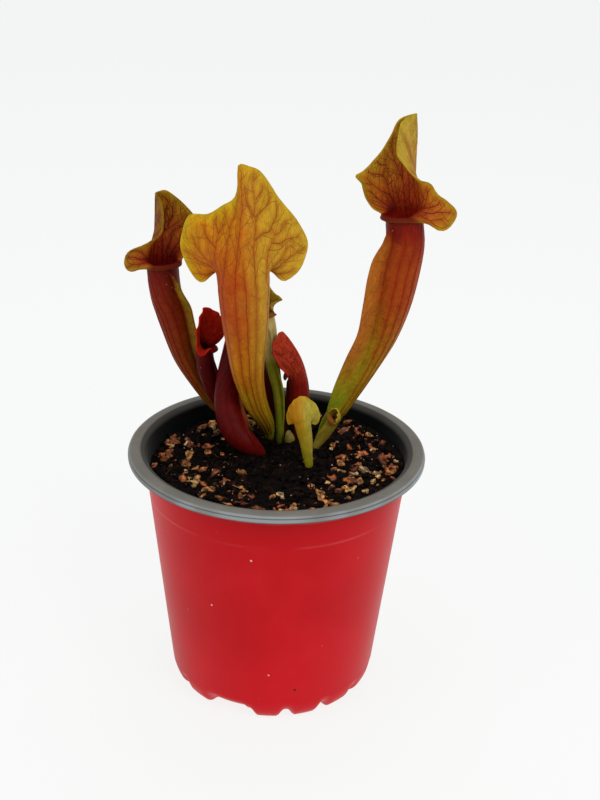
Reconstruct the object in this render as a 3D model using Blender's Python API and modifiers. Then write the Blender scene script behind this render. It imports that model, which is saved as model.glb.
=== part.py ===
"""A pitcher plant of ten hollow leaves, growing in peat in a thin plastic nursery pot.

Lengths are written in millimetres and turned into metres by MM. The pot's axis is Z, the
middle of its underside is the origin, and -Y is the side that the plant is seen from.
"""
import math
import random
from dataclasses import dataclass

import bmesh
import bpy
from mathutils import Matrix, Vector, noise

MM = 0.001
GAP = 0.3

# Pot: radii and heights of one thin formed sheet
RIM_RADIUS = 60.0
RIM_SKIRT_HEIGHT = 102.9
POT_HEIGHT = 106.0
RIM_INNER_RADIUS = 53.6
NECK_RADIUS = 52.5
NECK_HEIGHT = 102.0
HEEL_RADIUS = 42.5
HEEL_HEIGHT = 12.5
FOOT_RADIUS = 37.0
FOOT_INNER_RADIUS = 31.0
SHEET = 0.9
POT_STEPS = 64

# Feet of the pot, by angle in degrees from the front towards +X
FOOT_PITCH = 22.5
FIRST_GROOVE = 10.0
GROOVE_HALF_WIDTH = 5.7
GROOVE_LIFT = 3.2
POCKETS = (-24.0, 96.0, 216.0)
POCKET_HALF_WIDTH = 9.5
POCKET_LIFT = 4.2
POCKET_FADE_HEIGHT = 12.5

# Soil
SOIL_LEVEL = 98.2
SOIL_SLOPE = (0.035, 0.0)
SOIL_ROUGHNESS = 1.1
SOIL_LUMP = 7.0
CROWN = (-1.0, 24.0)
CROWN_DIP = 2.2
CROWN_DIP_RADIUS = 12.0
SOIL_RINGS = 11
CHIP_COUNT = 64
CHIP_SEED = 11
CHIP_RADIUS = (2.0, 3.8)
CHIP_HEIGHT = (0.9, 1.9)
CHIP_BELT = (26.0, 48.5)
CHIP_KEEP_OUT = 13.0

# Rhizome
RHIZOME_DEPTH = 86.4
RHIZOME_RADIUS = 3.9
FOOT_DEPTH = 91.2

# Leaves
LEAF_WALL = 0.8
WING_THICKNESS = 0.8
WING_ROOT = 0.8
WING_CORNER = 0.9
LIP_WIDTH = 1.7
LIP_HEIGHT = 1.3
LIP_DROP = 0.4
LIP_BLEND = 0.14
NORMAL_PASSES = 2
CAVITY_RADIUS = 2.0
HOLE_CLEARANCE = 0.45


@dataclass(frozen=True)
class Leaf:
    """One pitcher: a tube along a spine that opens into a lip in front and a hood behind."""

    name: str
    colour: tuple
    # x, y, z, tube radius and wing width, from the foot up to the mouth
    spine: tuple
    # share of the length and direction of the winged side, degrees from -Y towards +X
    facing: tuple
    # column u (0 at the back, 1 and -1 in front), x, y, z along the hood's edge
    hood: tuple = ()
    # column u, x, y, z by which the hood bulges away from a plain arc
    folds: tuple = ()
    # for a plain hood: its half width, reach over the mouth and height
    plain_hood: tuple = (1.0, 1.0, 1.0)
    arch: tuple = (0.35, 0.0)
    columns: int = 16
    tube_rows: int = 7
    hood_rows: int = 5
    wall: float = 0.7


LEAVES = (
    Leaf(
        name="pitcher_right",
        colour=(0.36, 0.13, 0.03),
        spine=(
            (15.5, 22.5, FOOT_DEPTH, 1.7, 0.0),
            (18.0, 22.0, 99.5, 1.9, 0.2),
            (21.5, 21.5, 107.0, 2.3, 2.0),
            (25.0, 21.0, 111.5, 2.7, 4.0),
            (31.0, 20.0, 122.5, 3.2, 7.5),
            (37.0, 19.0, 135.5, 4.2, 8.5),
            (41.5, 18.0, 148.0, 5.7, 6.8),
            (44.5, 17.0, 161.5, 7.1, 6.8),
            (46.5, 17.0, 174.0, 7.7, 6.8),
            (48.0, 17.0, 186.5, 7.6, 5.2),
            (47.5, 17.0, 194.0, 7.3, 2.0),
            (47.0, 17.0, 198.5, 7.3, 0.0),
        ),
        facing=((0.0, -62.0), (0.82, -60.0), (0.93, -50.0), (1.0, -42.0)),
        hood=(
            (-0.64, 56.5, 10.5, 197.0),
            (-0.60, 61.0, 9.0, 195.0),
            (-0.56, 64.5, 10.0, 196.5),
            (-0.50, 66.5, 12.0, 201.0),
            (-0.44, 64.0, 14.0, 204.5),
            (-0.38, 59.5, 15.0, 207.0),
            (-0.32, 56.0, 16.0, 211.5),
            (-0.26, 51.5, 11.0, 214.0),
            (-0.21, 47.0, 10.5, 218.5),
            (-0.15, 43.0, 9.5, 223.5),
            (-0.09, 42.5, 10.5, 229.0),
            (-0.04, 44.5, 14.0, 235.5),
            (0.0, 49.5, 18.0, 237.5),
            (0.06, 43.5, 18.0, 235.5),
            (0.13, 40.5, 19.0, 229.5),
            (0.21, 36.0, 20.0, 221.0),
            (0.29, 30.5, 20.5, 214.5),
            (0.34, 27.5, 20.0, 212.5),
            (0.40, 30.5, 22.0, 209.0),
            (0.47, 32.0, 24.0, 203.0),
            (0.54, 35.5, 23.0, 199.0),
            (0.60, 38.5, 21.0, 197.5),
        ),
        folds=(
            (-0.36, 0.0, 0.0, 0.0),
            (-0.25, 1.5, 0.0, 0.0),
            (-0.16, 9.0, 1.0, 0.0),
            (-0.08, 8.0, 1.0, -1.0),
            (0.04, 0.0, 0.0, 0.0),
        ),
        columns=24,
        tube_rows=12,
        hood_rows=8,
        wall=LEAF_WALL,
    ),
    Leaf(
        name="pitcher_middle",
        colour=(0.42, 0.17, 0.03),
        spine=(
            (-2.5, 25.0, FOOT_DEPTH, 1.7, 0.0),
            (-3.5, 23.5, 97.5, 1.9, 0.0),
            (-5.0, 20.5, 105.5, 3.3, 0.6),
            (-8.5, 15.5, 115.0, 4.3, 1.2),
            (-11.0, 10.5, 125.5, 5.2, 2.0),
            (-12.5, 6.5, 136.0, 6.4, 3.0),
            (-13.0, 4.0, 147.5, 7.8, 3.0),
            (-13.5, 2.0, 159.0, 9.1, 3.0),
            (-14.0, 1.0, 169.5, 9.8, 2.0),
            (-14.5, 1.0, 177.5, 10.2, 0.0),
        ),
        facing=((0.0, 180.0), (1.0, 180.0)),
        hood=(
            (-0.62, -25.5, 4.0, 177.5),
            (-0.56, -30.0, 2.5, 173.5),
            (-0.49, -35.0, 5.0, 176.5),
            (-0.42, -39.0, 8.0, 184.5),
            (-0.34, -38.5, 9.0, 191.5),
            (-0.26, -35.5, 8.0, 198.5),
            (-0.19, -28.5, 6.0, 199.5),
            (-0.12, -23.0, 4.0, 203.5),
            (-0.07, -18.0, 2.5, 207.5),
            (-0.035, -17.0, 3.0, 213.0),
            (0.0, -17.0, 4.5, 219.0),
            (0.06, -12.5, 5.0, 218.5),
            (0.12, -8.0, 6.0, 216.0),
            (0.20, -1.0, 8.0, 205.5),
            (0.29, 6.0, 10.0, 196.5),
            (0.37, 10.0, 9.0, 188.5),
            (0.44, 8.5, 6.0, 181.5),
            (0.50, 5.5, 3.5, 177.5),
            (0.56, 1.0, 2.0, 175.0),
            (0.62, -3.0, 4.0, 177.5),
        ),
        columns=24,
        tube_rows=12,
        hood_rows=8,
        wall=LEAF_WALL,
    ),
    Leaf(
        name="pitcher_left",
        colour=(0.30, 0.06, 0.02),
        spine=(
            (-10.5, 29.5, FOOT_DEPTH, 1.7, 0.0),
            (-13.0, 30.0, 98.0, 1.9, 0.2),
            (-20.0, 31.0, 103.0, 2.4, 1.5),
            (-27.5, 32.0, 109.5, 3.0, 2.5),
            (-34.5, 32.0, 119.5, 3.6, 3.0),
            (-40.5, 32.0, 131.0, 4.6, 3.5),
            (-44.0, 32.0, 143.0, 5.6, 3.5),
            (-47.0, 32.0, 155.0, 6.3, 3.5),
            (-48.5, 32.0, 164.0, 6.4, 2.5),
            (-49.0, 32.0, 171.0, 6.4, 0.0),
        ),
        facing=((0.0, 78.0), (0.75, 74.0), (0.9, 50.0), (1.0, 30.0)),
        hood=(
            (-0.62, -41.0, 33.0, 172.5),
            (-0.56, -39.5, 34.5, 174.5),
            (-0.49, -37.5, 36.5, 177.0),
            (-0.41, -34.0, 37.5, 181.0),
            (-0.32, -34.0, 38.0, 186.0),
            (-0.23, -37.5, 38.0, 191.0),
            (-0.15, -42.0, 37.0, 196.0),
            (-0.07, -47.5, 35.0, 200.5),
            (0.0, -51.5, 32.5, 200.0),
            (0.06, -49.5, 30.0, 198.0),
            (0.13, -48.5, 29.0, 193.0),
            (0.20, -48.0, 28.5, 188.5),
            (0.26, -49.5, 28.5, 184.5),
            (0.32, -53.0, 30.0, 181.0),
            (0.38, -57.0, 31.0, 178.5),
            (0.44, -62.0, 31.0, 176.0),
            (0.50, -64.0, 29.0, 171.5),
            (0.56, -61.5, 26.0, 169.0),
            (0.62, -56.5, 24.5, 170.5),
        ),
        folds=(
            (-0.02, 0.0, 0.0, 0.0),
            (0.10, -4.5, 1.0, 0.0),
            (0.20, -5.5, 1.0, 0.0),
            (0.34, 0.0, 0.0, 0.0),
        ),
        columns=22,
        tube_rows=11,
        hood_rows=7,
        wall=LEAF_WALL,
    ),
    Leaf(
        name="pitcher_dark_red",
        colour=(0.22, 0.012, 0.014),
        spine=(
            (-5.6, 9.4, FOOT_DEPTH, 1.7, 0.0),
            (-7.0, 8.6, 97.5, 2.4, 0.0),
            (-12.0, 8.0, 102.0, 4.4, 0.8),
            (-16.5, 9.5, 105.5, 5.4, 1.6),
            (-19.8, 13.5, 111.0, 5.6, 1.6),
            (-21.3, 17.5, 117.0, 5.4, 1.5),
            (-21.3, 20.5, 124.0, 5.0, 1.5),
            (-20.3, 22.5, 131.0, 4.7, 1.2),
            (-19.0, 23.5, 138.0, 4.4, 0.8),
            (-17.8, 24.0, 144.5, 4.3, 0.0),
        ),
        facing=((0.0, 60.0), (0.55, 65.0), (0.8, 120.0), (1.0, 155.0)),
        plain_hood=(0.85, 1.0, 1.05),
        arch=(0.4, 0.0),
        tube_rows=11,
    ),
    Leaf(
        name="pitcher_back_red",
        colour=(0.30, 0.015, 0.012),
        spine=(
            (-9.5, 23.5, FOOT_DEPTH, 1.6, 0.0),
            (-12.5, 23.7, 99.0, 1.8, 0.0),
            (-18.3, 24.2, 104.5, 2.2, 0.8),
            (-23.0, 24.8, 110.5, 2.6, 1.2),
            (-27.0, 25.2, 116.5, 3.0, 1.5),
            (-29.5, 25.2, 123.0, 3.3, 1.5),
            (-31.2, 25.2, 129.8, 3.5, 1.0),
            (-31.2, 25.2, 137.0, 3.6, 0.0),
        ),
        facing=((0.0, 75.0), (1.0, 85.0)),
        plain_hood=(1.0, 1.3, 1.45),
        arch=(0.4, 0.0),
        tube_rows=7,
    ),
    Leaf(
        name="pitcher_slender",
        colour=(0.25, 0.22, 0.02),
        spine=(
            (0.5, 23.0, FOOT_DEPTH, 1.6, 0.0),
            (0.8, 22.5, 99.0, 1.7, 0.0),
            (0.5, 22.8, 106.5, 1.7, 0.8),
            (0.0, 23.0, 113.0, 1.8, 1.5),
            (-0.7, 23.5, 120.0, 2.1, 2.0),
            (-2.2, 24.0, 127.5, 2.6, 2.0),
            (-4.0, 24.0, 137.5, 3.1, 1.5),
            (-5.0, 24.0, 146.0, 3.4, 1.2),
            (-6.5, 24.0, 153.5, 3.6, 0.0),
        ),
        facing=((0.0, 55.0), (1.0, 15.0)),
        hood=(
            (-0.58, -1.5, 21.5, 156.5),
            (-0.46, 1.0, 21.0, 160.5),
            (-0.30, -2.0, 24.0, 163.5),
            (-0.15, -5.0, 25.5, 167.0),
            (0.0, -8.0, 26.0, 170.0),
            (0.15, -10.5, 25.0, 166.5),
            (0.30, -13.0, 23.5, 163.0),
            (0.46, -14.0, 22.0, 159.5),
            (0.58, -11.0, 20.5, 157.0),
        ),
        tube_rows=9,
    ),
    Leaf(
        name="pitcher_hidden_red",
        colour=(0.16, 0.012, 0.015),
        spine=(
            (1.0, 29.5, FOOT_DEPTH, 1.7, 0.0),
            (1.5, 29.5, 99.5, 2.0, 0.0),
            (-0.5, 30.0, 107.0, 2.6, 0.8),
            (-2.8, 30.5, 113.5, 3.0, 1.0),
            (-5.8, 31.0, 120.0, 3.3, 1.2),
            (-9.2, 31.5, 126.5, 3.5, 1.0),
            (-12.0, 32.5, 132.0, 3.6, 0.8),
            (-14.0, 33.5, 137.5, 3.6, 0.0),
        ),
        facing=((0.0, 60.0), (0.6, 90.0), (1.0, 150.0)),
        plain_hood=(0.8, 0.9, 1.0),
        arch=(0.4, 0.0),
        tube_rows=7,
    ),
    Leaf(
        name="pitcher_red",
        colour=(0.35, 0.03, 0.025),
        spine=(
            (8.0, 27.5, FOOT_DEPTH, 1.9, 0.0),
            (8.8, 27.8, 99.0, 2.6, 0.0),
            (8.5, 27.0, 107.0, 3.8, 1.6),
            (8.5, 26.0, 114.5, 4.3, 1.6),
            (8.2, 25.0, 121.5, 4.1, 1.4),
            (7.2, 23.8, 127.0, 3.9, 0.0),
        ),
        facing=((0.0, -125.0), (1.0, -110.0)),
        hood=(
            (-0.60, 3.6, 18.4, 128.8),
            (-0.50, 1.5, 17.5, 131.0),
            (-0.38, -1.5, 16.0, 136.0),
            (-0.26, -3.0, 16.0, 141.0),
            (-0.13, -2.0, 17.0, 145.0),
            (0.0, 0.5, 19.5, 147.5),
            (0.13, 1.0, 22.5, 145.5),
            (0.28, 0.5, 26.0, 141.0),
            (0.44, 1.0, 28.5, 135.0),
            (0.60, 4.5, 28.0, 130.5),
        ),
        arch=(0.5, 0.05),
        columns=20,
        tube_rows=7,
        hood_rows=6,
    ),
    Leaf(
        name="pitcher_yellow",
        colour=(0.52, 0.40, 0.05),
        spine=(
            (11.5, 0.5, FOOT_DEPTH, 1.4, 0.0),
            (13.2, -4.0, 99.0, 1.6, 0.0),
            (12.5, -4.0, 103.5, 2.0, 0.8),
            (11.8, -3.5, 109.0, 2.6, 1.2),
            (11.0, -3.0, 112.8, 3.0, 1.0),
            (10.2, -2.8, 116.8, 3.3, 0.0),
        ),
        facing=((0.0, 195.0), (1.0, 185.0)),
        hood=(
            (-0.62, 6.3, -1.5, 116.0),
            (-0.53, 4.3, -0.5, 115.5),
            (-0.42, 3.5, 0.5, 119.0),
            (-0.28, 4.6, 1.0, 122.8),
            (-0.14, 6.8, 0.8, 126.0),
            (0.0, 9.6, 0.5, 127.5),
            (0.14, 12.6, 0.8, 126.3),
            (0.28, 15.6, 1.0, 123.4),
            (0.42, 17.0, 0.5, 119.2),
            (0.53, 16.2, -0.5, 116.0),
            (0.62, 14.2, -1.5, 116.3),
        ),
        arch=(0.4, 0.0),
        tube_rows=6,
    ),
    Leaf(
        name="young_pitcher",
        colour=(0.38, 0.36, 0.05),
        spine=(
            (15.0, 13.3, FOOT_DEPTH, 1.3, 0.0),
            (15.9, 13.7, 98.5, 1.5, 0.0),
            (18.6, 14.0, 103.5, 2.3, 0.6),
            (21.0, 13.0, 108.0, 2.4, 0.6),
            (23.5, 12.0, 112.5, 2.2, 0.0),
        ),
        facing=((0.0, -60.0), (1.0, -60.0)),
        plain_hood=(0.75, 1.0, 0.8),
        columns=12,
        tube_rows=6,
        hood_rows=4,
        wall=0.6,
    ),
)

# Edge of a plain hood from its side to its top, in mouth radii: column u, then how far
# sideways, forward and up from the middle of the mouth
PLAIN_EDGE = (
    (0.62, 1.18, 0.40, -0.15),
    (0.53, 1.70, 0.70, -0.25),
    (0.42, 2.00, 1.00, 0.67),
    (0.28, 1.70, 1.15, 1.80),
    (0.14, 1.03, 1.10, 2.80),
    (0.0, 0.0, 1.00, 3.20),
)


def clear_scene():
    """Remove what the scene starts with."""
    for thing in list(bpy.data.objects):
        bpy.data.objects.remove(thing, do_unlink=True)


def collection(name):
    """Make a collection in the scene."""
    made = bpy.data.collections.new(name)
    bpy.context.scene.collection.children.link(made)
    return made


def material(name, colour, roughness):
    """Make a Principled material."""
    made = bpy.data.materials.new(name)
    made.use_nodes = True
    shader = made.node_tree.nodes["Principled BSDF"]
    shader.inputs["Base Color"].default_value = (*colour, 1.0)
    shader.inputs["Roughness"].default_value = roughness
    shader.inputs["Metallic"].default_value = 0.0
    return made


def add_object(name, mesh, place, finish=None):
    """Link a mesh into a collection as a named object."""
    made = bpy.data.objects.new(name, mesh)
    place.objects.link(made)
    if finish is not None:
        mesh.materials.clear()
        mesh.materials.append(finish)
    return made


def smooth_key(keys, t):
    """Point at t on the smooth curve through keys, each a parameter and its values."""
    if t <= keys[0][0]:
        return Vector(keys[0][1:])
    if t >= keys[-1][0]:
        return Vector(keys[-1][1:])
    i = max(k for k in range(len(keys) - 1) if keys[k][0] <= t)

    def slope(k):
        before = keys[max(k - 1, 0)]
        after = keys[min(k + 1, len(keys) - 1)]
        return (Vector(after[1:]) - Vector(before[1:])) / (after[0] - before[0])

    step = keys[i + 1][0] - keys[i][0]
    f = (t - keys[i][0]) / step
    start, end = Vector(keys[i][1:]), Vector(keys[i + 1][1:])
    return (
        start * (2 * f**3 - 3 * f**2 + 1)
        + slope(i) * step * (f**3 - 2 * f**2 + f)
        + end * (3 * f**2 - 2 * f**3)
        + slope(i + 1) * step * (f**3 - f**2)
    )


def smoothstep(low, high, value):
    """Ease from 0 at low to 1 at high."""
    f = min(1.0, max(0.0, (value - low) / (high - low)))
    return f * f * (3 - 2 * f)


def eased(keys, t):
    """Value at t, eased from key to key."""
    value = keys[0][1]
    for before, after in zip(keys, keys[1:]):
        value += (after[1] - before[1]) * smoothstep(before[0], after[0], t)
    return value


class LeafSurface:
    """The outside of one pitcher as a function of column u and height along it."""

    def __init__(self, leaf):
        self.leaf = leaf
        travelled = 0.0
        keys = [(0.0, *leaf.spine[0])]
        for before, after in zip(leaf.spine, leaf.spine[1:]):
            travelled += (Vector(after[:3]) - Vector(before[:3])).length
            keys.append((travelled, *after))
        self.keys = [(key[0] / travelled, *key[1:]) for key in keys]
        self.mouth = self.frame(1.0)
        hood = leaf.hood or self.plain_hood()
        self.reach = (hood[0][0] - LIP_BLEND, hood[-1][0] + LIP_BLEND)
        lip = [(u, *self.lip_edge(u)) for u in self.reach]
        self.edge = [lip[0], *hood, lip[1]]

    def plain_hood(self):
        """Edge of a heart shaped hood, scaled to the mouth."""
        centre, radius, _, along, back, side = self.mouth
        width, reach, height = self.leaf.plain_hood
        half = [(-u, -sideways, forward, up) for u, sideways, forward, up in PLAIN_EDGE]
        edge = []
        for u, sideways, forward, up in (*half, *reversed(PLAIN_EDGE[:-1])):
            away = side * sideways * width - back * forward * reach + along * up * height
            edge.append((u, *(centre + away * radius)))
        return edge

    def frame(self, s):
        """Centre, radius, wing width and the along, back and side directions at s."""
        x, y, z, radius, wing = smooth_key(self.keys, s)
        ahead = smooth_key(self.keys, min(1.0, s + 0.02))
        behind = smooth_key(self.keys, max(0.0, s - 0.02))
        along = Vector(ahead[:3]) - Vector(behind[:3])
        along.normalize()
        turn = math.radians(eased(self.leaf.facing, s))
        front = Vector((math.sin(turn), -math.cos(turn), 0.0))
        front -= along * along.dot(front)
        front.normalize()
        back = -front
        return Vector((x, y, z)), radius, max(wing, 0.0), along, back, along.cross(back)

    def tube(self, s, u):
        """Outside of the tube, with its wing in front."""
        centre, radius, wing, _, back, side = self.frame(s)
        half = WING_THICKNESS / 2
        spread = abs(u)
        if spread <= WING_ROOT:
            turn, reach = (math.pi - math.asin(half / radius)) * spread / WING_ROOT, radius
        else:
            out = (spread - WING_CORNER) / (1 - WING_CORNER)
            if out <= 0:
                forward = radius + wing * (spread - WING_ROOT) / (WING_CORNER - WING_ROOT)
                sideways = half
            else:
                forward = radius + wing + half * out * 0.5
                sideways = half * (1 - out)
            turn, reach = math.pi - math.atan2(sideways, forward), math.hypot(sideways, forward)
        share = smoothstep(0.0, 1.2, wing)
        turn = math.copysign(math.pi * spread * (1 - share) + turn * share, u)
        reach = radius * (1 - share) + reach * share
        return centre + (back * math.cos(turn) + side * math.sin(turn)) * reach

    def bore(self, s, u):
        """Inside of the tube."""
        centre, radius, _, _, back, side = self.frame(s)
        turn = math.pi * u
        plain = back * math.cos(turn) + side * math.sin(turn)
        return centre + plain * (radius - self.leaf.wall)

    def lip_edge(self, u):
        """Outer edge of the rolled lip."""
        centre, radius, _, along, back, side = self.mouth
        outward = back * math.cos(math.pi * u) + side * math.sin(math.pi * u)
        return centre + outward * (radius + LIP_WIDTH) - along * LIP_DROP

    def brim(self, t, u):
        """Hood and lip, from the mouth at t = 0 to their free edge at t = 1."""
        centre, radius, _, along, back, side = self.mouth
        outward = back * math.cos(math.pi * u) + side * math.sin(math.pi * u)
        root = centre + outward * radius
        low, high = self.reach
        hooded = smoothstep(low, low + LIP_BLEND, u) * smoothstep(high, high - LIP_BLEND, u)
        end = smooth_key(self.edge, u) if low < u < high else self.lip_edge(u)
        rise, lift = self.leaf.arch
        span = (end - root).length
        near = root + along * (rise * span * hooded + LIP_HEIGHT * (1 - hooded))
        far = end.lerp(near, 0.35) + along * (lift * span)
        if self.leaf.folds and self.leaf.folds[0][0] < u < self.leaf.folds[-1][0]:
            far += smooth_key(self.leaf.folds, u)
        far = (end + along * LIP_HEIGHT).lerp(far, hooded)
        back_t = 1 - t
        return (
            root * back_t**3
            + near * 3 * back_t**2 * t
            + far * 3 * back_t * t**2
            + end * t**3
        )


def outward_directions(rows):
    """Smoothed outward directions of all rows but the first of a closed ring of columns."""
    count = len(rows[0])
    facing = []
    for number, here in enumerate(rows):
        above = rows[min(number + 1, len(rows) - 1)]
        below = rows[max(number - 1, 0)]
        line = []
        for k in range(count):
            across = here[(k + 1) % count] - here[k - 1]
            line.append(across.cross(above[k] - below[k]).normalized())
        facing.append(line)
    for _ in range(NORMAL_PASSES):
        smoothed = []
        for number, here in enumerate(facing):
            above = facing[min(number + 1, len(rows) - 1)]
            below = facing[max(number - 1, 0)]
            line = []
            for k in range(count):
                around = here[k - 1] + here[(k + 1) % count] + above[k] + below[k]
                line.append((around + here[k] * 2).normalized())
            smoothed.append(line)
        facing = smoothed
    return facing[1:]


def leaf_mesh(leaf):
    """Loft one pitcher: outside, hollow, hood and lip as one closed wall."""
    surface = LeafSurface(leaf)
    count = leaf.columns
    columns = [-1 + 2 * k / count for k in range(count)]
    heights = [k / leaf.tube_rows for k in range(leaf.tube_rows + 1)]
    rises = [k / leaf.hood_rows for k in range(1, leaf.hood_rows + 1)]
    outer = [[surface.tube(s, u) for u in columns] for s in heights]
    brim = [[surface.brim(t, u) for u in columns] for t in rises]
    wide = [k for k, s in enumerate(heights) if surface.frame(s)[1] >= CAVITY_RADIUS]
    hollow = max(wide[0], 2)
    inner = [[surface.bore(s, u) for u in columns] for s in heights[hollow:]]
    for line, facing in zip(brim, outward_directions([outer[-1], *brim])):
        inner.append([point - turn * leaf.wall for point, turn in zip(line, facing)])
    outer += brim

    shape = bmesh.new()

    def add_rows(rows):
        return [[shape.verts.new(point * MM) for point in line] for line in rows]

    def join(low, high, flip):
        for k in range(count):
            a, b = low[k], low[(k + 1) % count]
            c, d = high[(k + 1) % count], high[k]
            for corners in ((a, b, c), (a, c, d)):
                shape.faces.new(reversed(corners) if flip else corners)

    def cap(ring, centre, flip):
        middle = shape.verts.new(centre * MM)
        for k in range(count):
            corners = (ring[(k + 1) % count], ring[k], middle)
            shape.faces.new(reversed(corners) if flip else corners)

    outside, inside = add_rows(outer), add_rows(inner)
    for low, high in zip(outside, outside[1:]):
        join(low, high, False)
    for low, high in zip(inside, inside[1:]):
        join(low, high, True)
    join(outside[-1], inside[-1], False)
    cap(outside[0], surface.frame(0.0)[0] + Vector((0, 0, -0.3)), False)
    cap(inside[0], surface.frame(heights[hollow])[0] + Vector((0, 0, -0.4)), True)
    mesh = bpy.data.meshes.new(leaf.name)
    shape.to_mesh(mesh)
    shape.free()
    mesh.shade_smooth()
    return mesh


def turned_mesh(name, profile, steps):
    """Turn a line of radius and height points about Z with a Screw modifier."""
    shape = bmesh.new()
    line = [shape.verts.new((radius * MM, 0.0, height * MM)) for radius, height in profile]
    for before, after in zip(line, line[1:]):
        shape.edges.new((before, after))
    mesh = bpy.data.meshes.new(name + "_profile")
    shape.to_mesh(mesh)
    shape.free()
    made = bpy.data.objects.new(name + "_profile", mesh)
    bpy.context.scene.collection.objects.link(made)
    screw = made.modifiers.new("Screw", "SCREW")
    screw.steps = screw.render_steps = steps
    screw.use_merge_vertices = True
    screw.merge_threshold = 0.00001
    return evaluated_mesh(made, name)


def evaluated_mesh(source, name):
    """Take an object's shape with its modifiers as a new mesh, and remove the object."""
    bpy.context.view_layer.update()
    graph = bpy.context.evaluated_depsgraph_get()
    mesh = bpy.data.meshes.new_from_object(source.evaluated_get(graph))
    mesh.transform(source.matrix_world)
    mesh.name = name
    bpy.data.objects.remove(source, do_unlink=True)
    return mesh


def base_lift(x, y):
    """How far the pot's base is raised between its feet at x, y."""
    angle = math.degrees(math.atan2(x, -y))
    offset = (angle - FIRST_GROOVE + FOOT_PITCH / 2) % FOOT_PITCH - FOOT_PITCH / 2
    groove = GROOVE_LIFT * (1 - smoothstep(1.0, GROOVE_HALF_WIDTH, abs(offset)))
    nearest = min(abs((angle - middle + 180) % 360 - 180) for middle in POCKETS)
    pocket = POCKET_LIFT * (1 - smoothstep(POCKET_HALF_WIDTH, POCKET_HALF_WIDTH + 3.0, nearest))
    return max(groove, pocket)


def lift_base(mesh, floor):
    """Raise the heel of a turned sheet between the pot's feet."""
    for vertex in mesh.vertices:
        x, y, z = (value / MM for value in vertex.co)
        ring = smoothstep(FOOT_INNER_RADIUS, FOOT_RADIUS - 1.5, math.hypot(x, y))
        fade = 1 - smoothstep(floor, POCKET_FADE_HEIGHT, z)
        vertex.co.z += base_lift(x, y) * ring * fade * MM


def heel_profile(shrink, floor):
    """Corner between the pot's wall and its base, from the wall down to the foot."""
    return (
        (HEEL_RADIUS - shrink, HEEL_HEIGHT),
        (HEEL_RADIUS - 0.6 - shrink, 7.5 + 0.2 * floor),
        (HEEL_RADIUS - 2.2 - shrink, 3.2 + 0.6 * floor),
        (FOOT_RADIUS - shrink, floor),
        (FOOT_INNER_RADIUS - shrink, floor),
    )


def pot_mesh():
    """The pot's formed sheet, seen from inside, before it gets its thickness."""
    profile = (
        (RIM_RADIUS, RIM_SKIRT_HEIGHT),
        (RIM_RADIUS, RIM_SKIRT_HEIGHT + 1.8),
        (RIM_RADIUS - 1.2, POT_HEIGHT - 0.2),
        (RIM_RADIUS - 3.4, POT_HEIGHT),
        (RIM_INNER_RADIUS + 0.8, POT_HEIGHT - 0.4),
        (NECK_RADIUS + 0.3, POT_HEIGHT - 1.9),
        (NECK_RADIUS, NECK_HEIGHT),
        *heel_profile(0.0, SHEET),
        (0.0, SHEET),
    )
    mesh = turned_mesh("pot", profile, POT_STEPS)
    lift_base(mesh, SHEET)
    return mesh


def chips():
    """Bark and grit chips on the soil: x, y, radius and height of each."""
    draw = random.Random(CHIP_SEED)
    placed = []
    while len(placed) < CHIP_COUNT:
        angle = draw.uniform(0, 2 * math.pi)
        belt = draw.uniform(CHIP_BELT[0] ** 2, CHIP_BELT[1] ** 2) ** 0.5
        x, y = belt * math.sin(angle), -belt * math.cos(angle)
        radius = draw.uniform(*CHIP_RADIUS)
        height = draw.uniform(*CHIP_HEIGHT)
        clear = all(math.hypot(x - a, y - b) > 0.8 * (radius + c) for a, b, c, _ in placed)
        if clear and math.hypot(x - CROWN[0], y - CROWN[1]) > CHIP_KEEP_OUT:
            placed.append((x, y, radius, height))
    return placed


def soil_height(x, y, placed):
    """Height of the soil's surface at x, y."""
    height = SOIL_LEVEL + SOIL_SLOPE[0] * x + SOIL_SLOPE[1] * y
    height += SOIL_ROUGHNESS * noise.noise(Vector((x / SOIL_LUMP, y / SOIL_LUMP, 3.0)))
    to_crown = math.hypot(x - CROWN[0], y - CROWN[1])
    height -= CROWN_DIP * (1 - smoothstep(0.0, CROWN_DIP_RADIUS, to_crown))
    bumps = [
        chip_height * (1 - smoothstep(0.3, 1.1, math.hypot(x - a, y - b) / radius))
        for a, b, radius, chip_height in placed
    ]
    return height + max(bumps)


def soil_mesh():
    """The block of peat that fills the pot, with chips raised on its surface."""
    wall_slope = (NECK_RADIUS - HEEL_RADIUS) / (NECK_HEIGHT - HEEL_HEIGHT)
    edge = HEEL_RADIUS - GAP + wall_slope * (SOIL_LEVEL - HEEL_HEIGHT)
    floor = SHEET + GAP
    profile = [(edge * k / SOIL_RINGS, SOIL_LEVEL) for k in range(SOIL_RINGS + 1)]
    profile += heel_profile(GAP, floor)
    profile.append((0.0, floor))
    mesh = turned_mesh("soil", profile, POT_STEPS)
    lift_base(mesh, floor)
    placed = chips()
    for vertex in mesh.vertices:
        x, y, z = (value / MM for value in vertex.co)
        if z > SOIL_LEVEL - 1.0:
            new_height = soil_height(x, y, placed)
            radius = math.hypot(x, y)
            if radius > edge - 0.1:
                widened = (edge + wall_slope * (new_height - SOIL_LEVEL)) / radius
                vertex.co.x, vertex.co.y = x * widened * MM, y * widened * MM
            vertex.co.z = new_height * MM
    return mesh


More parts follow.
